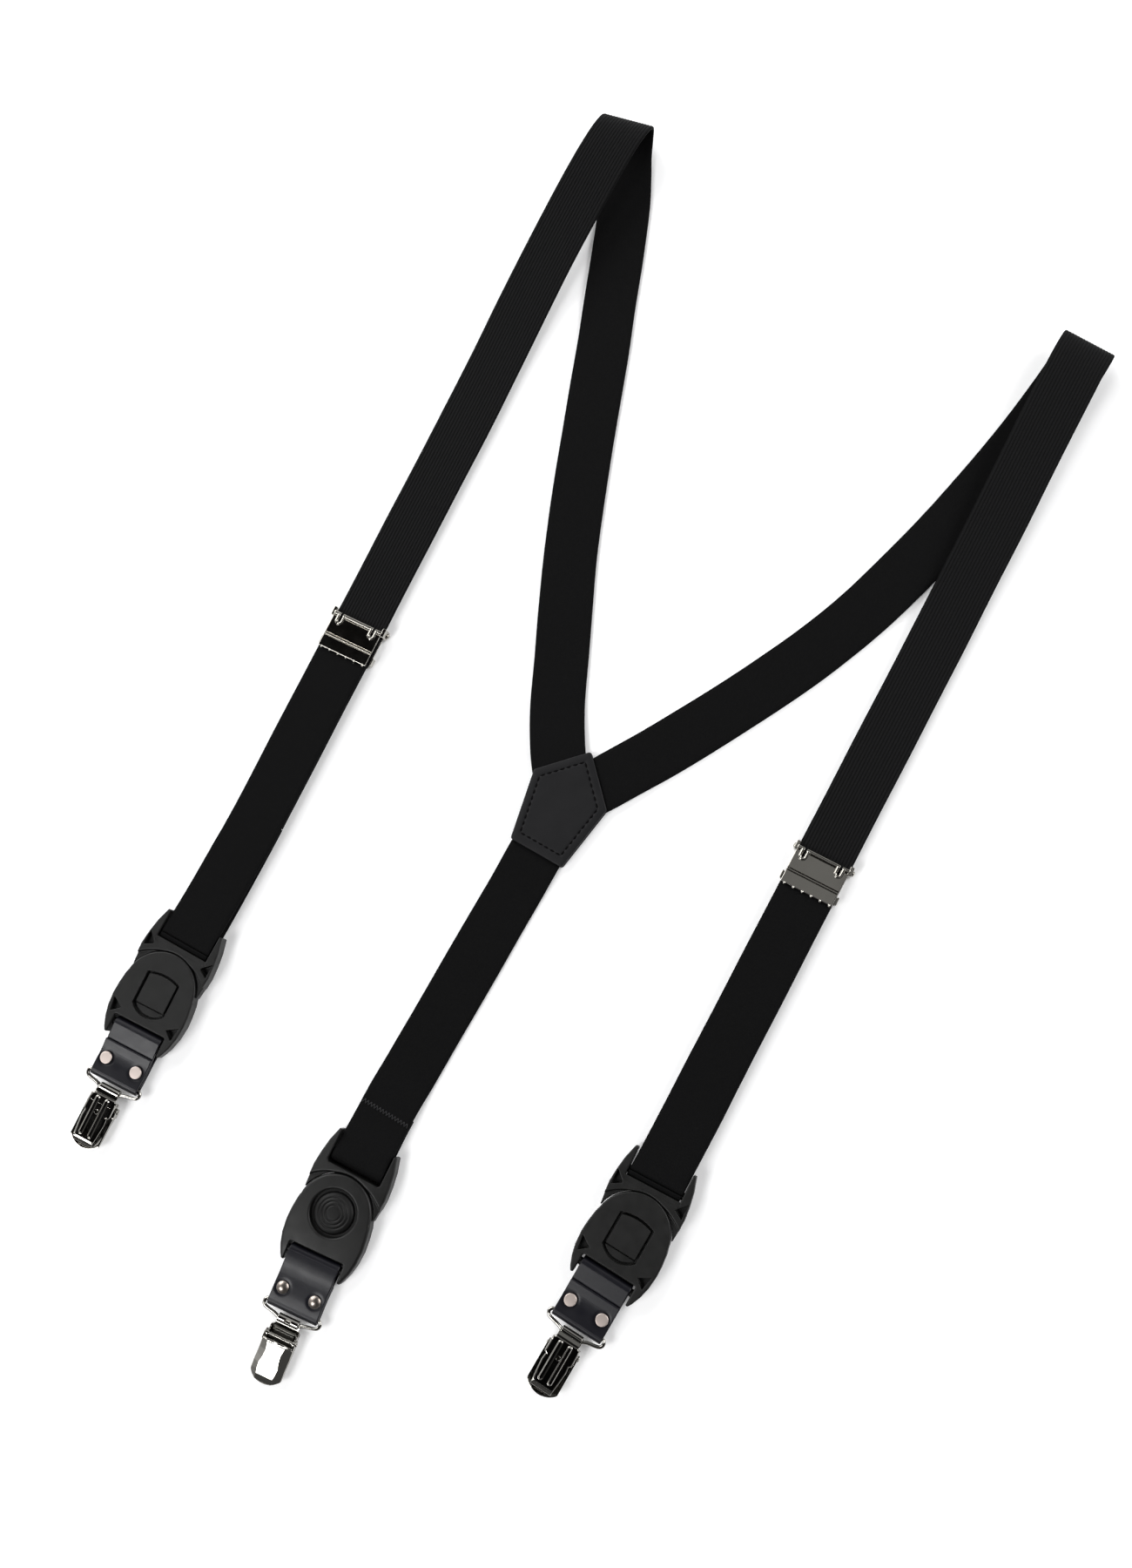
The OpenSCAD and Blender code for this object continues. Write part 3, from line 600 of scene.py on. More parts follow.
def f_plate(x, y0, z):
    y = y0 - RY
    ax = np.abs(x)
    roll = ext(np.hypot(y, z - CZ) - 2.0, x, -4.95, 4.95, 0.25)
    # tongue from the roll down to the plate
    neck = ext(sheet_side(y, z, [(-0.9, 2.45), (-2.4, 2.2), (-4.2, 1.5), (-6.2, 1.0)], 0.85), x, -5.5, 5.5, 0.15)
    half = np.interp(y, [-23.5, -19, -14, -11.4, -10.6, -5.2, -3.0], [5.1, 5.6, 6.0, 5.7, 6.6, 6.5, 5.7])
    base = cap((ax - half) * 0.98, y + 3.0, -23.4 - y)
    # two pressed ribs with round ends
    rd = np.hypot(ax - 2.35, y - np.clip(y, -20.9, -4.6))
    ribs = 0.56 * np.clip((1.2 - rd) / 0.75, 0, 1)
    ribs = ribs * ribs * (3 * 0.56 - 2 * ribs) / 0.56 ** 2
    edge = 0.35 * np.clip((ax - half + 1.1) / 1.1, 0, 1) ** 2
    lowz = 0.52 - np.clip(ribs, 0, 0.5) * 0.98 + edge
    plate = smax(smax(base, z - (lowz + 0.85), 0.12), lowz - z, 0.22)
    lip = ext(sheet_side(y, z, [(-23.0, 1.0), (-23.8, 1.15), (-25.1, 2.05)], 0.8), x, -5.0, 5.0, 0.2)
    side = np.maximum(sheet_side(ax, z, [(5.0, 1.0), (5.9, 1.05), (6.28, 1.6), (6.28, 5.0)], 0.72), cap(-10.3 - y + (z - 1) * 0.28, y + 3.5 + (z - 4) * 0.9 * (z > 4), z - 5.4))
    ear = cap(np.hypot(y + 7.6, z - 5.2) - 1.6, np.abs(ax - 6.3) - 0.38)
    side = smin(side, ear, 0.2)
    d = smin(smin(plate, neck, 0.15), side, 0.15)
    d = smin(d, lip, 0.25)
    d = np.minimum(d, roll)
    d = np.maximum(d, -ext(np.hypot(y, z - CZ) - 0.95, x, -8, 8))
    d = np.maximum(d, -(np.hypot(y + 7.6, z - 5.2) - 0.8))
    d = np.maximum(d, -cap(np.hypot(y + 4.4, z - 3.0) - 0.65, -np.abs(x) + 5.2))
    d = np.maximum(d, -cap(np.hypot(x, y + 10.4) - 0.9, z - 2.5))
    d = np.maximum(d, -ext(rect(x, y, -1.6, 1.6, -0.6, 0.6, 0.4), z, CZ + 0.8, 8))
    return d

def lever_out(x, y):
    a = np.maximum(np.maximum(np.abs(x) - 7.5, y + 9.3), -18.5 - y)
    return np.minimum(np.where(y > -18.5, a, 9), np.where(y <= -18.5, cap(np.hypot(x, y + 18.5) - 9.5, np.abs(x) - 7.5), 9))

def f_lever(x, y0, z):
    y = y0 - RY
    ax = np.abs(x)
    out = smax(np.abs(x) - 7.45, np.where(y < -18.5, np.hypot(x, y + 18.5) - 9.5, y + 9.35), 0.35)
    out = np.maximum(out, y + 9.35)
    # top face: flat vase shaped panel, sloping sides, drooping tip
    pan = np.interp(y, [-24.6, -23, -20, -17, -14, -11, -9.5], [3.9, 4.3, 4.6, 3.9, 3.6, 4.1, 4.6])
    spine = np.interp(y, [-28.2, -27, -24.5, -10.6, -9.8, -9.3], [4.9, 5.75, 6.45, 8.25, 8.3, 8.1])
    over = np.maximum(ax - pan, 0)
    drop = 0.62 * over
    tip = np.maximum(-24.5 - y, 0)
    top = spine - drop - 0.05 * tip
    bot = np.interp(y, [-28.2, -24, -9.3], [3.7, 3.3, 3.35])
    outer = smax(smax(out, z - top, 0.35), bot - z, 0.12)
    inner = cap(out + 0.75, z - (top - 0.85))
    d = smax(outer, -inner, 0.15)
    cheek = cap(np.abs(ax - 7.12) - 0.34, smin(np.hypot(y + 7.6, z - 5.2) - 1.9, cap(y + 7.6, -10.2 - y, np.abs(z - 5.3) - 2.0), 0.3))
    d = smin(d, cheek, 0.1)
    # rolled wavy front lip of the lever
    lipz = 7.9 + 0.12 * np.cos(x * 1.25)
    lip = ext(np.hypot(y + 9.45, z - lipz) - 0.42, x, -6.9, 6.9, 0.2)
    d = smin(d, lip, 0.25)
    return np.maximum(d, -(np.hypot(y + 7.6, z - 5.2) - 0.8))

def f_jaw(x, y0, z):
    y = y0 - RY
    rod_ = ext(np.hypot(y + 4.4, z - 3.0) - 0.6, x, -6.55, 6.55, 0.15)
    sleeve = ext(np.hypot(y + 4.4, z - 3.0) - 0.85, x, -4.9, 4.9, 0.2)
    plate = ext(sheet_side(y, z, [(-4.6, 2.72), (-21.6, 2.55), (-24.5, 3.1)], 0.78), x, -4.88, 4.88, 0.3)
    teeth = ext(np.abs(z - 2.75) - 0.45, x, -4.8, 4.8, 0.1)
    teeth = cap(teeth, -24.9 - y, y + 23.9, 0.45 - np.abs(((x + 20) % 1.6) - 0.8))
    return np.minimum(smin(plate, sleeve, 0.3), rod_)

def f_pin(x, y0, z):
    y = y0 - RY
    return ext(np.hypot(y + 7.6, z - 5.2) - 0.75, x, -7.9, 7.9, 0.3)

# ------------------------------------------------------------------ adjuster, local mm
def f_adj_plate(x, y, z):
    ax = np.abs(x)
    press = 0.0
    plate = ext(rect(x, y, -12.4, 12.4, -9.6, 7.4, 0.3), z, 6.2, 7.0, 0.32)
    d = smin(plate, rod(x, y, z, 0.8, 12.4, 7.5, 6.4, 0.2), 0.15)
    for s in (-2.75, -3.85):
        d = np.maximum(d, -cap((6.4 + 2.4 * np.abs(y - s) - z) / 2.6, ax - 12.6))
    d = np.minimum(d, rod(x, y, z, 0.36, 12.3, 6.95, 7.0, 0.15))
    d = np.maximum(d, -cap((6.45 + 2.0 * np.abs(y - 6.3) - z) / 2.24, np.minimum(ax - 6.4, cap(10.6 - ax, ax - 12.4))))
    t = ((x + 11.2 - 0.8 + 2.15) % 4.3) - 2.15
    teeth = cap(np.hypot(np.hypot(t, (y + 9.75) * 0.8), (z - 6.75)) - 0.52, ax - 11.9)
    d = smin(d, teeth, 0.15)
    ear = np.minimum(ext(rect(ax, y, 12.0, 13.7, 5.7, 9.9, 0.2), z, 6.2, 7.0, 0.2), ext(rect(ax, y, 12.9, 13.7, 5.7, 9.9, 0.1), z, 0.1, 6.6, 0.1))
    d = smin(d, ear, 0.2)
    # a round wire-like curl about each slot, and the slot itself open to the top edge
    u = np.where(y < 4.3, np.abs(np.hypot(ax - 8.5, y - 4.3) - 1.3), np.abs(np.abs(ax - 8.5) - 1.3))
    hook = cap(np.hypot(u, z - 7.0) - 0.58, y - 7.3)
    d = smin(d, hook, 0.1)
    d = np.maximum(d, -cap(np.minimum(rect(ax, y, 7.95, 9.05, 4.3, 9.2), np.hypot(ax - 8.5, y - 4.3) - 0.55), z - 9, 5.0 - z))
    return np.maximum(d, -ext(np.hypot(y - 7.9, z - 1.35) - 0.75, x, -15, 15))

def f_adj_lever(x, y, z):
    ax = np.abs(x)
    d = ext(rect(x, y, -12.3, 12.3, -9.2, 7.8, 0.3), z, 0.2, 1.2, 0.25)
    d = smin(d, rod(x, y, z, 1.2, 12.3, 7.9, 1.35, 0.2), 0.3)
    d = np.minimum(d, rod(x, y, z, 0.45, 12, -9.2, 0.75, 0.15))
    fl = np.minimum(ext(rect(ax, y, 12.0, 13.7, -8.2, -4.4, 0.3), z, 0.2, 1.2, 0.2), ext(rect(ax, y, 12.9, 13.7, -8.2, -4.4, 0.3), z, 0.2, 4.2, 0.2))
    d = smin(d, fl, 0.2)
    for s in (-5.2, 0.0):
        d = np.maximum(d, -ext(rect(x, y, -9.5, 9.5, s - 0.25, s + 0.25, 0.2), z, -1, 0.42, 0.1))
    return np.maximum(d, -ext(np.hypot(y - 7.9, z - 1.35) - 0.75, x, -15, 15))

def f_adj_pin(x, y, z):
    ax = np.abs(x)
    r = np.hypot(y - 7.9, z - 1.35)
    head = smax(ext(r - 1.3, ax, 13.75, 14.65, 0.25), r + (ax - 14.0) * 1.1 - 1.5, 0.1)
    return np.minimum(ext(r - 0.7, x, -14, 14), head)

# ------------------------------------------------------------------ webbing, row mm
RZ, WR, LZ = 3.5, 1.75 + 0.22 + 0.8, 4.5
STRAP_L = [(-3,4.7,2.15,50),(-10.2,15,2.15,31),(-19.6,30.9,1.1,27),(-30,52.7,0.8,25.5),(-40.5,74.6,0.8,25),
  (-50.9,97.2,0.8,24),(-62.9,126.4,0.8,22),(-76.7,162.4,0.8,21),(-87,189.8,0.8,20.5),(-94.5,208.5,0.8,20.5),
  (-104,233,0.8,21),(-113.5,256,0.86,20),(-120.5,270,1.2,16),(-125.5,279.5,2.6,13),(-128.3,286.5,6,11),
  (-129.2,289.5,10.2,10.5),(-128.9,288.2,14.2,10),(-128.7,283.5,17.2,9),(-129,276,18.2,8),(-129.6,262,16.8,6),
  (-130.2,240,12.8,4),(-130.3,215,8.8,3.4),(-129.4,188,5.6,3.4),(-127.6,160,3.9,3.4),(-125.2,125,RZ,3.4),
  (-121.9,68,RZ,3.4),(-118.6,12.5,RZ,3.4),(-115.9,-34,RZ,3.4),(-113.1,-80,RZ,3.4)]
STRAP_R = [(13.6,4.7,2.15,-50),(18.6,13,2.15,-33),(23.4,21,1.6,-31),(30.6,32.9,0.9,-30.5),(38.1,46,0.8,-29.5),
  (47.2,62.5,0.8,-28.5),(57.7,82.5,0.8,-27),(67.6,102.9,0.8,-25),(75,120.4,0.8,-22),(80.4,135.1,0.8,-19),
  (85,150.1,0.8,-17),(91,172,0.8,-14.5),(96.5,195,0.8,-12.5),(101.5,220,0.8,-11),(105.5,245,0.8,-9),
  (108,265,0.98,-7),(109,276,1.6,-5),(109.5,283.5,3.6,-4),(109.7,287.6,7.2,-3.5),(109.6,286,11,-3),
  (109.5,280,13,-2.5),(109.7,270,13.2,-2),(110.3,250,11.4,-1),(111.3,225,8.8,0.5),(112.6,195,6.2,1.2),
  (113.8,160,4.2,1.75),(114.9,130,RZ,1.75),(116.6,75,RZ,1.75),(118.3,19.6,RZ,1.75),(119.7,-26,RZ,1.75),(121.4,-80,RZ,1.75)]
BL, BR, BC = (-111.6, -145.3), (122.8, -129), (7.4, -187.9)
def wrap(b, a):
    return [(b[0] - 0.05, b[1] - WR * 0.7, LZ - WR * 0.72, a), (b[0] - 0.05, b[1] - WR, LZ, a), (b[0] - 0.05, b[1] - WR * 0.7, LZ + WR * 0.72, a), (b[0], b[1], LZ + WR, a)]
LOOP_L = [(-113.1,-80.4,RZ,3.4),(-112.4,-98,3.2,2.4),(-111.9,-118,2.4,1.6),(-111.7,-134,2,1.5),(*BL,LZ-WR,1.5)] + wrap(BL, 1.5)
LOOP_R = [(121.4,-80.4,RZ,1.75),(121.9,-92,3.3,2.2),(122.3,-106,2.6,2.6),(122.6,-119,2,3),(*BR,LZ-WR,3)] + wrap(BR, 3)
RET_L = [(BL[0],BL[1]+0.3,LZ+WR,1.5),(-111.8,-137,6.9,1.5),(-112,-122,6,1.8),(-112.5,-102,5.3,2.6),(-113.1,-80,5.2,3.4),(-115.9,-34,5.2,3.4),(-118.2,6,5.2,3.4)]
RET_R = [(BR[0],BR[1]+0.3,LZ+WR,3),(122.6,-121,6.9,3),(122.2,-107,6,2.6),(121.8,-92,5.3,2.2),(121.4,-80,5.2,1.75),(119.7,-26,5.2,1.75),(118.45,13,5.2,1.75)]
BACK_W = [(5.6,-3,2.15,0),(5.8,-22,2.15,0),(5.8,-36,1.9,0),(5.8,-50,0.9,0),(5.7,-70,0.8,0),(5.7,-100,0.8,0),(5.6,-130,0.8,0),(5.6,-144,1,0),(5.6,-152,1.9,0),
  (5.8,-160,2.75,0.5),(6.2,-170,3.4,1.5),(6.8,-180,5.4,2.8),(BC[0],BC[1],4+WR,3.5),(BC[0],BC[1]-WR*0.7,4+WR*0.72,3.5),(BC[0],BC[1]-WR,4,3.5),
  (BC[0],BC[1]-WR*0.7,4-WR*0.72,3.5),(BC[0],BC[1],4-WR,3.5),(6.9,-180,1.1,2.8),(6.2,-170,0.9,1.5),(5.9,-161,0.9,0.7)]

def dense(pts, step=1.6):
    p = [np.array(q, float) for q in pts]
    out = []
    for i in range(len(p) - 1):
        a, b, c, d = p[max(i - 1, 0)], p[i], p[i + 1], p[min(i + 2, len(p) - 1)]
        n = max(3, int(np.linalg.norm(c[:3] - b[:3]) / step))
        for k in range(n):
            t = k / n
            out.append(0.5 * (2 * b + (c - a) * t + (2 * a - 5 * b + 4 * c - d) * t * t + (3 * b - a - 3 * c + d) * t ** 3))
    out.append(p[-1])
    return np.array(out)

PITCH = 24.2 / 17
def profile(w, t, rib_up):
    """closed cross-section of the web: (across, thickness) pairs, ribbed face first"""
    s = np.linspace(-w / 2 + 0.42, w / 2 - 0.42, 17 * 6 + 1)
    g = ((s + 24.2 / 2) % PITCH) - PITCH / 2
    ribs = 0.17 * np.exp(-((PITCH / 2 - np.abs(g)) / 0.2) ** 2)
    up = [(a, t / 2 - 0.02 - r) for a, r in zip(s, ribs)]
    e = w / 2
    right = [(e - 0.12, t / 2 - 0.22), (e, 0.25), (e + 0.02, 0), (e, -0.25), (e - 0.12, -t / 2 + 0.22)]
    s2 = np.linspace(e - 0.42, -e + 0.42, 15)
    down = [(a, -t / 2 + 0.02 + 0.03 * (abs(a) > e - 1.2)) for a in s2]
    left = [(-a, b) for a, b in reversed(right)]
    loop = up + right + down + left
    return loop if rib_up else [(a, -b) for a, b in loop][::-1]

def web(name, pts, rib_up, body, mat_rib, mat_smooth, w=24.9, t=1.58, v0=0.0, step=1.6):
    p = dense(pts, step)
    c = p[:, :3]
    tg = np.zeros_like(c)
    tg[1:-1], tg[0], tg[-1] = c[2:] - c[:-2], c[1] - c[0], c[-1] - c[-2]
    tg /= np.linalg.norm(tg, axis=1)[:, None]
    a = np.radians(p[:, 3])
    wd = np.stack([np.cos(a), np.sin(a), 0 * a], 1)
    n = np.cross(tg, wd)
    n /= np.linalg.norm(n, axis=1)[:, None]
    arc = np.concatenate([[0], np.cumsum(np.linalg.norm(np.diff(c, axis=0), axis=1))])
    loop = profile(w, t, rib_up)
    m, k = len(c), len(loop)
    s, h = np.array(loop).T
    wob = 1 + 0.004 * np.sin(arc / 9.3 + v0) + 0.003 * np.sin(arc / 23.7 + 2 * v0)
    P = c[:, None, :] + wd[:, None, :] * (s[None, :] * wob[:, None])[:, :, None] + n[:, None, :] * h[None, :, None]
    P = P.reshape(-1, 3) + np.array([OX, OY, 0])
    F = [(i * k + j, i * k + (j + 1) % k, (i + 1) * k + (j + 1) % k, (i + 1) * k + j) for i in range(m - 1) for j in range(k)]
    F = [f[::-1] for f in F]
    F += [tuple(range(k)), tuple((m - 1) * k + j for j in range(k - 1, -1, -1))]
    me = bpy.data.meshes.new(name)
    me.from_pydata((P * MM).tolist(), [], F)
    bm = bmesh.new()
    bm.from_mesh(me)
    bmesh.ops.recalc_face_normals(bm, faces=bm.faces)
    bm.to_mesh(me)
    bm.free()
    uvl = me.uv_layers.new(name="UVMap")
    vi = np.zeros(len(me.loops), int)
    me.loops.foreach_get("vertex_index", vi)
    U = np.stack([s[vi % k] * MM, (arc[vi // k] + v0) * MM], 1)
    uvl.data.foreach_set("uv", U.astype(np.float32).ravel())
    me.polygons.foreach_set("use_smooth", [True] * (len(F) - 2) + [False] * 2)
    me.materials.append(mat_smooth)
    me.materials.append(mat_rib)
    nup = 17 * 6
    mi = np.zeros(len(F), int)
    j = np.arange(len(F) - 2) % k
    mi[:-2] = (j < nup) if rib_up else (j >= k - nup - 1)
    me.polygons.foreach_set("material_index", mi.tolist())
    o = bpy.data.objects.new(name, me)
    bpy.context.scene.collection.objects.link(o)
    return o, arc[-1] * MM, p

def lay_web():
    o, L, _ = web("web_strap_left", STRAP_L, True, "root", M_RIB, M_WEB)
    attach(o, "root"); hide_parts("strap_left")
    o, L2, _ = web("web_strap_right", STRAP_R, True, "root", M_RIB, M_WEB, v0=3.0)
    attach(o, "root"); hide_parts("strap_right")
    o, L3, _ = web("web_back", BACK_W, False, "root", M_RIB, M_WEB, v0=5.0)
    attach(o, "root"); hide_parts("back_strap")
    for side, loop_, ret, bar, end, ad in (("left", LOOP_L, RET_L, BL, (-113.1, -82), (AX[0], AY[0])), ("right", LOOP_R, RET_R, BR, (121.4, -82), (AX[1], AY[1]))):
        o, a, _ = web("web_loop_" + side, loop_, True, None, M_RIB, M_WEB, v0=7.0)
        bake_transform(o)
        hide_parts("loop_" + side)
        o, b, _ = web("web_return_" + side, ret, True, None, M_RIB, M_WEB, v0=9.0)
        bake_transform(o)
        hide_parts("return_" + side)

lay_web()

# ------------------------------------------------------------------ leather patch
PATCH = [(-6.9, -32), (19.1, -32.2), (24, 0), (4.9, 19.4), (-13.4, 0.4)]
PC = (5.3, -8)
PATCH_IN = [(q[0] + (PC[0] - q[0]) * 0.06, q[1] + (PC[1] - q[1]) * 0.06) for q in PATCH]
def stitch_dist(x, y):
    inner = [(lerp(PC[0], q[0], 0.81), lerp(PC[1], q[1], 0.81)) for q in PATCH]
    return line2(x, y, inner + inner[:1])
def lerp(a, b, t):
    return a + (b - a) * t
def f_patch(z0, z1, top):
    def f(x, y, z):
        d = poly(x, y, PATCH_IN) - 1.3
        fold = 0.1 * np.exp(-(stitch_dist(x, y) / 0.55) ** 2) + 0.16 * np.clip(1 + (d + 0.0) / 2.2, 0, 1) ** 1.5
        if top:
            return smax(smax(d, z - (z1 - fold), 0.35), z0 - z, 0.2)
        return smax(smax(d, z - z1, 0.2), z0 + fold - z, 0.3)
    return f
def patch():
    T = Matrix.Translation((OX, OY, 0))
    for name, z0, z1, top in (("patch_front", 3.15, 4.35, True), ("patch_back", 0.0, 1.2, False)):
        f = f_patch(z0, z1, top)
        me = solid("m_" + name, f, (-16, -35, z0 - 0.6), (27, 22.5, z1 + 0.6), 0.3, 0.35)
        put(name + "_leather", me, T, "root", "patch_leather", M_PATCH, name)
    # stitches: short thread lengths sunk in a groove, ends going down into their holes
    inner = [(lerp(PC[0], q[0], 0.81), lerp(PC[1], q[1], 0.81)) for q in PATCH]
    V, F = [], []
    def stitch(ax, ay, bx, by, z, up):
        n, s, r = 6, 8, 0.42
        dx, dy = bx - ax, by - ay
        L = math.hypot(dx, dy)
        px, py = -dy / L, dx / L
        base = len(V)
        for i in range(n + 1):
            t = i / n
            lift = up * (math.sin(math.pi * t) ** 0.5 * 0.3 - 0.2)
            for k in range(s):
                a = 2 * math.pi * k / s
                V.append((ax + dx * t + px * r * math.cos(a), ay + dy * t + py * r * math.cos(a), z + lift + r * 0.8 * math.sin(a)))
        for i in range(n):
            for k in range(s):
                F.append((base + i * s + k, base + i * s + (k + 1) % s, base + (i + 1) * s + (k + 1) % s, base + (i + 1) * s + k))
        F.append(tuple(base + k for k in range(s - 1, -1, -1)))
        F.append(tuple(base + n * s + k for k in range(s)))
    holes = []
    for i in range(5):
        (ax, ay), (bx, by) = inner[i], inner[(i + 1) % 5]
        L = math.hypot(bx - ax, by - ay)
        m = max(1, round(L / 3.0))
        for k in range(m):
            t0, t1 = (k + 0.22) / m, (k + 0.78) / m
            for z, up in ((4.2, 1), (0.15 + 0.0, -1)):
                stitch(lerp(ax, bx, t0) + OX, lerp(ay, by, t0) + OY, lerp(ax, bx, t1) + OX, lerp(ay, by, t1) + OY, z + (0.0 if up > 0 else 0.12), up)
            for q in (t0 + 0.04 / m, t1 - 0.04 / m):
                holes.append((lerp(ax, bx, q), lerp(ay, by, q)))
    me = bpy.data.meshes.new("patch_thread")
    me.from_pydata([(a * MM, b * MM, max(c, 0.02) * MM) for a, b, c in V], [], F)
    me.polygons.foreach_set("use_smooth", [True] * len(F))
    me.materials.append(M_STITCH)
    o = bpy.data.objects.new("patch_thread", me)
    bpy.context.scene.collection.objects.link(o)
    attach(o, "root"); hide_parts("patch_stitches")
    # awl holes between the stitches, drawn as flat dark discs of painted shade
    bm = bmesh.new()
    for hx, hy in holes:
        r = bmesh.ops.create_circle(bm, cap_ends=True, radius=0.5 * MM, segments=14, matrix=Matrix.Translation(((hx + OX) * MM, (hy + OY) * MM, 4.262 * MM)))
    me = bpy.data.meshes.new("patch_holes")
    bm.to_mesh(me)
    bm.free()
    me.materials.append(material("hole_shadow", (0.0015, 0.0015, 0.0015), 0.9, spec=0.1, bumps=[("noise", 3000, 0.2, 0.0001)]))
    o = bpy.data.objects.new("patch_holes", me)
    bpy.context.scene.collection.objects.link(o)
    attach(o, "root")
patch()

def seam():
    """zigzag seam across the back strap's turned end"""
    V, F = [], []
    pts = []
    for i in range(31):
        x = 5.95 - 11.6 + i * 23.2 / 30
        y = -163.4 + (0.95 if i % 2 else -0.95)
        pts.append((x + OX, y + OY))
    s, r = 7, 0.2
    for (ax, ay), (bx, by) in zip(pts[:-1], pts[1:]):
        base = len(V)
        L = math.hypot(bx - ax, by - ay)
        px, py = -(by - ay) / L, (bx - ax) / L
        for i in range(6):
            t = i / 5
            yy = lerp(ay, by, t) - OY
            zt = np.interp(yy, [-170, -165, -162, -160], [4.2, 3.88, 3.72, 3.6])
            lift = 0.17 * math.sin(math.pi * t) - 0.1
            for k in range(s):
                a = 2 * math.pi * k / s
                V.append((lerp(ax, bx, t) + px * r * math.cos(a), yy + OY + py * r * math.cos(a), zt + lift + r * math.sin(a)))
        for i in range(5):
            for k in range(s):
                F.append((base + i * s + k, base + i * s + (k + 1) % s, base + (i + 1) * s + (k + 1) % s, base + (i + 1) * s + k))
        F.append(tuple(base + k for k in range(s - 1, -1, -1)))
        F.append(tuple(base + 5 * s + k for k in range(s)))
    me = bpy.data.meshes.new("seam_thread")
    me.from_pydata([(a * MM, b * MM, c * MM) for a, b, c in V], [], F)
    me.polygons.foreach_set("use_smooth", [True] * len(F))
    me.materials.append(M_THREAD)
    o = bpy.data.objects.new("seam_thread", me)
    bpy.context.scene.collection.objects.link(o)
    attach(o, "root"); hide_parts("back_seam")
seam()

# ------------------------------------------------------------------ buckles, tabs, rings, clips
def tube(name, pts, r, sides=20):
    """a closed ring of round wire through the points, in mm"""
    P = [np.array(q, float) for q in smooth_loop(pts, 5)]
    n = len(P)
    V, F = [], []
    for i in range(n):
        t = P[(i + 1) % n] - P[i - 1]
        t = t / np.linalg.norm(t)
        m = np.array([-t[1], t[0]])
        for k in range(sides):
            a = 2 * math.pi * k / sides
            V.append((P[i][0] + m[0] * r * math.cos(a), P[i][1] + m[1] * r * math.cos(a), 4.0 + r * math.sin(a)))
    for i in range(n):
        for k in range(sides):
            F.append((i * sides + k, i * sides + (k + 1) % sides, ((i + 1) % n) * sides + (k + 1) % sides, ((i + 1) % n) * sides + k))
    me = bpy.data.meshes.new(name)
    me.from_pydata([(a * MM, b * MM, c * MM) for a, b, c in V], [], F)
    bm = bmesh.new(); bm.from_mesh(me); bmesh.ops.recalc_face_normals(bm, faces=bm.faces); bm.to_mesh(me); bm.free()
    me.polygons.foreach_set("use_smooth", [True] * len(F))
    return me

ring_half = [(0, -44.3), (6, -44.3), (11.4, -44.3), (12.7, -44.55), (13.35, -45.45), (13.3, -46.6), (12.4, -47.65), (10.4, -48.25), (8, -48.7), (6.6, -49.1), (5.6, -49.5), (4.6, -49.6), (0, -49.6)]
RING = ring_half + [(-x, y) for x, y in ring_half[-2:0:-1]]
ME_RING = tube("m_ring", RING, 0.84)

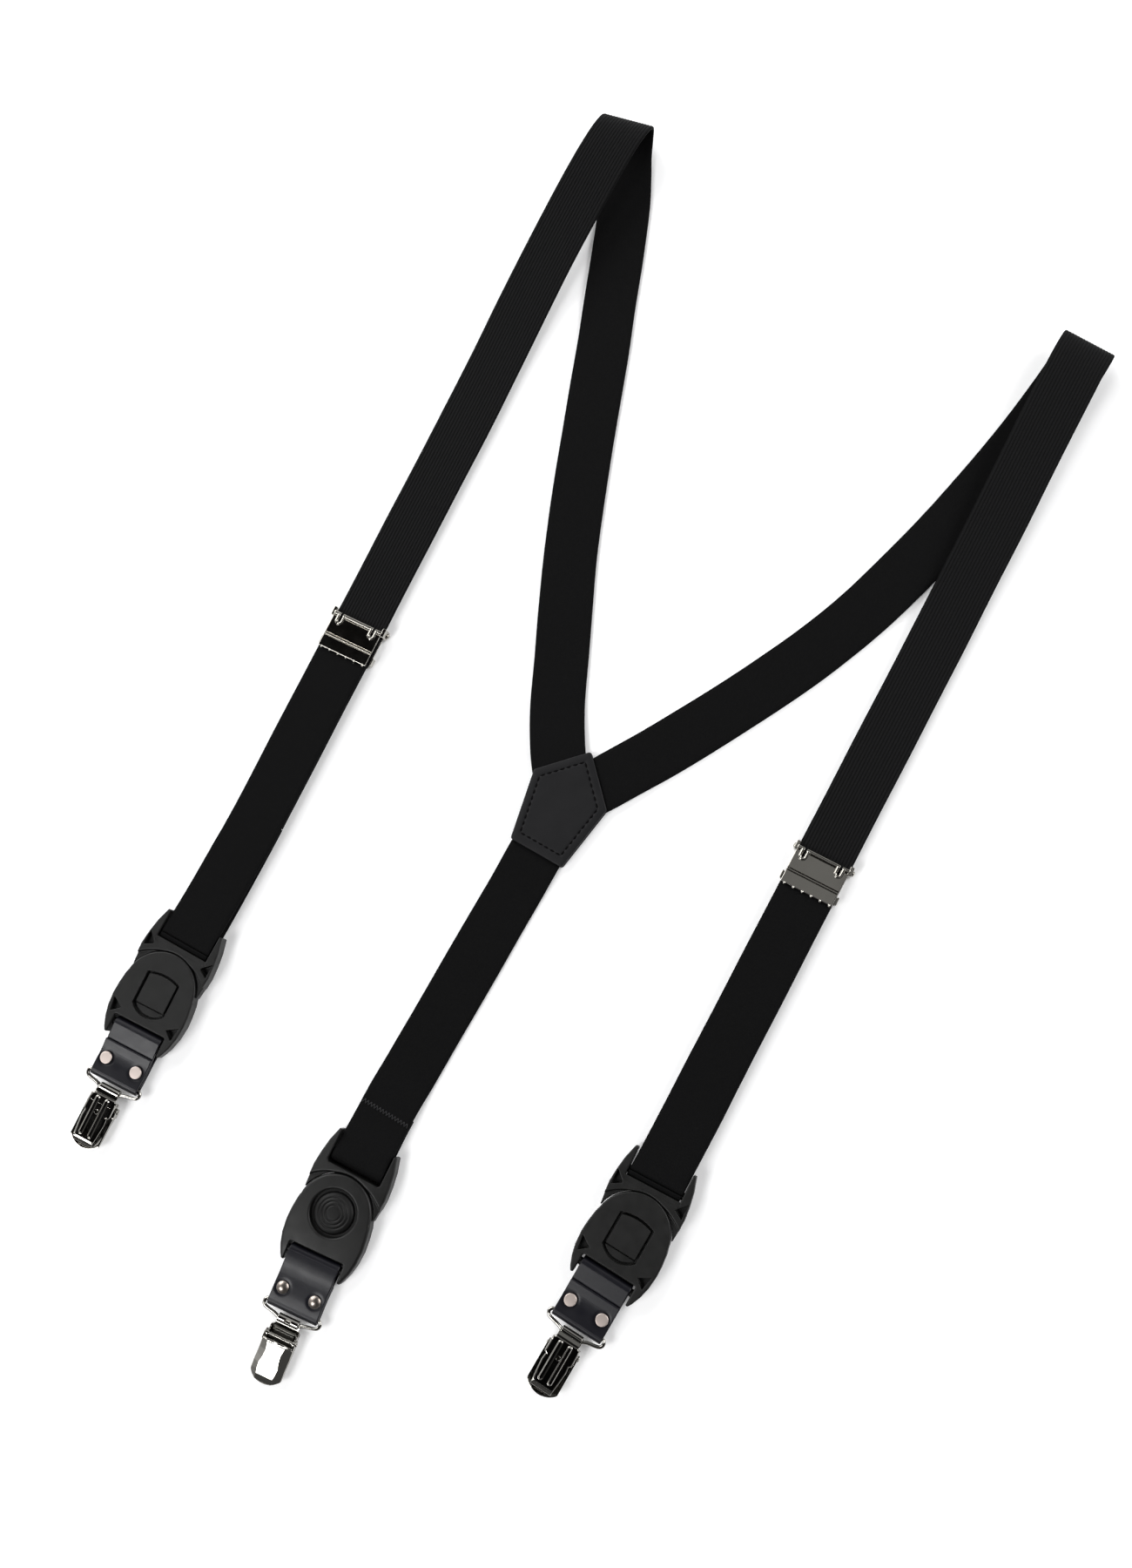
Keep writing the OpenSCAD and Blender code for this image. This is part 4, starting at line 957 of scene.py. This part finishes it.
def buckles():
    me_frame = solid("m_frame", f_frame, (-19, 3.5, -0.6), (19, 35, 9.2), 0.32, 0.4)
    me_house = solid("m_house", f_house, (-19.5, -28, -0.6), (19.5, 18, 9.2), 0.32, 0.4)
    me_button = solid("m_button", f_button, (-11.6, -11.6, 5.4), (11.6, 11.6, 8.8), 0.22, 0.5)
    me_tongue = solid("m_tongue", f_tongue, (-8.2, -9.2, 2), (8.2, 18.6, 5.2), 0.25, 0.4)
    me_tab = solid("m_tab", f_tab, (-12.6, -47.2, 0.2), (12.6, -18.0, 7.6), 0.3, 0.35)
    me_rivet = solid("m_rivet", f_rivet, (-3.2, -3.2, 0.5), (3.2, 3.2, 8.5), 0.14, 0.4)
    me_plate = solid("m_plate", f_plate, (-8, RY - 26.2, -0.5), (8, RY + 2.6, 7.4), 0.17, 0.4)
    me_lever = solid("m_lever", f_lever, (-8.2, RY - 28.8, 2.6), (8.2, RY - 5.2, 9.0), 0.17, 0.4)
    me_jaw = solid("m_jaw", f_jaw, (-7.2, RY - 25.6, 1.6), (7.2, RY - 3.0, 4.4), 0.17, 0.4)
    me_pin = solid("m_pin", f_pin, (-8.4, RY - 8.8, 4.0), (8.4, RY - 6.4, 6.4), 0.15, 0.5)
    for g, n in enumerate(SIDE):
        A, B = place(g, 0), place(g, GS[g])
        put("frame_" + n, me_frame, A, "frame_" + n, "buckle_plastic", M_PLASTIC, "buckle_frame_" + n)
        put("housing_" + n, me_house, B, "housing_" + n, "buckle_plastic", M_PLASTIC, "buckle_housing_" + n)
        put("button_" + n, me_button, B, "button_" + n, "buckle_plastic", M_BUTTON, "release_button_" + n)
        put("tongue_" + n, me_tongue, B, "tongue_" + n, "buckle_plastic", M_PLASTIC, "swivel_tongue_" + n)
        put("tab_" + n, me_tab, B, "tab_" + n, "tab_leather", M_TAB, "leather_tab_" + n)
        for s, q in ((-1, "a"), (1, "b")):
            o = put("rivet_" + n + "_" + q, me_rivet, B @ Matrix.Translation((s * 7.75, -37.2, 0)), "tab_" + n, "rivet_metal", M_RIVET)
            # the flat rear cap (the lowest faces) takes the lighter copy of the metal, as painted light
            o.data.materials.append(M_CAP_LIT)
            for f in o.data.polygons:
                f.material_index = 1 if f.center.z < 0.002 else 0
            if q == "a":
                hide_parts("tab_rivets_" + n)
        put("ring_" + n, ME_RING, B, "ring_" + n, "clip_metal", M_CLIP, "wire_ring_" + n)
        put("clip_rear_" + n, me_plate, B, "clip_" + n, "clip_metal", M_CLIP, "clip_plate_" + n)
        put("clip_pin_pin_" + n, me_pin, B, "clip_" + n, "clip_metal", M_CLIP, "clip_pin_" + n)
        put("jaw_" + n, me_jaw, B, "clip_jaw_" + n, "jaw_metal", M_JAW, "clip_jaw_" + n)
        put("lever_" + n, me_lever, B, "clip_lever_" + n, "clip_metal", M_CLIP, "clip_lever_" + n)
        NODES["latch_spring_" + n].data.materials.clear()
        NODES["latch_spring_" + n].data.materials.append(M_SPRING)
buckles()

def adjusters():
    me_p = solid("m_adj_plate", f_adj_plate, (-15, -11, -0.6), (15, 10.6, 8.2), 0.15, 0.3)
    me_l = solid("m_adj_lever", f_adj_lever, (-15, -10.6, -0.4), (15, 9.8, 5), 0.2, 0.35)
    me_n = solid("m_adj_pin", f_adj_pin, (-15.4, 6.2, -0.3), (15.4, 9.6, 3.0), 0.16, 0.4)
    for a, n in enumerate(SIDE[:2]):
        M = place_adjuster(a)
        put("adj_plate_" + n, me_p, M, "adjuster_" + n, "adjuster_metal", M_ADJ, "adjuster_plate_" + n)
        put("adj_lever_" + n, me_l, M, "adjuster_lever_" + n, "adjuster_metal", M_ADJ, "adjuster_lever_" + n)
        put("adj_pin_" + n, me_n, M, "adjuster_" + n, "adjuster_metal", M_ADJ, "adjuster_pin_" + n)
adjusters()
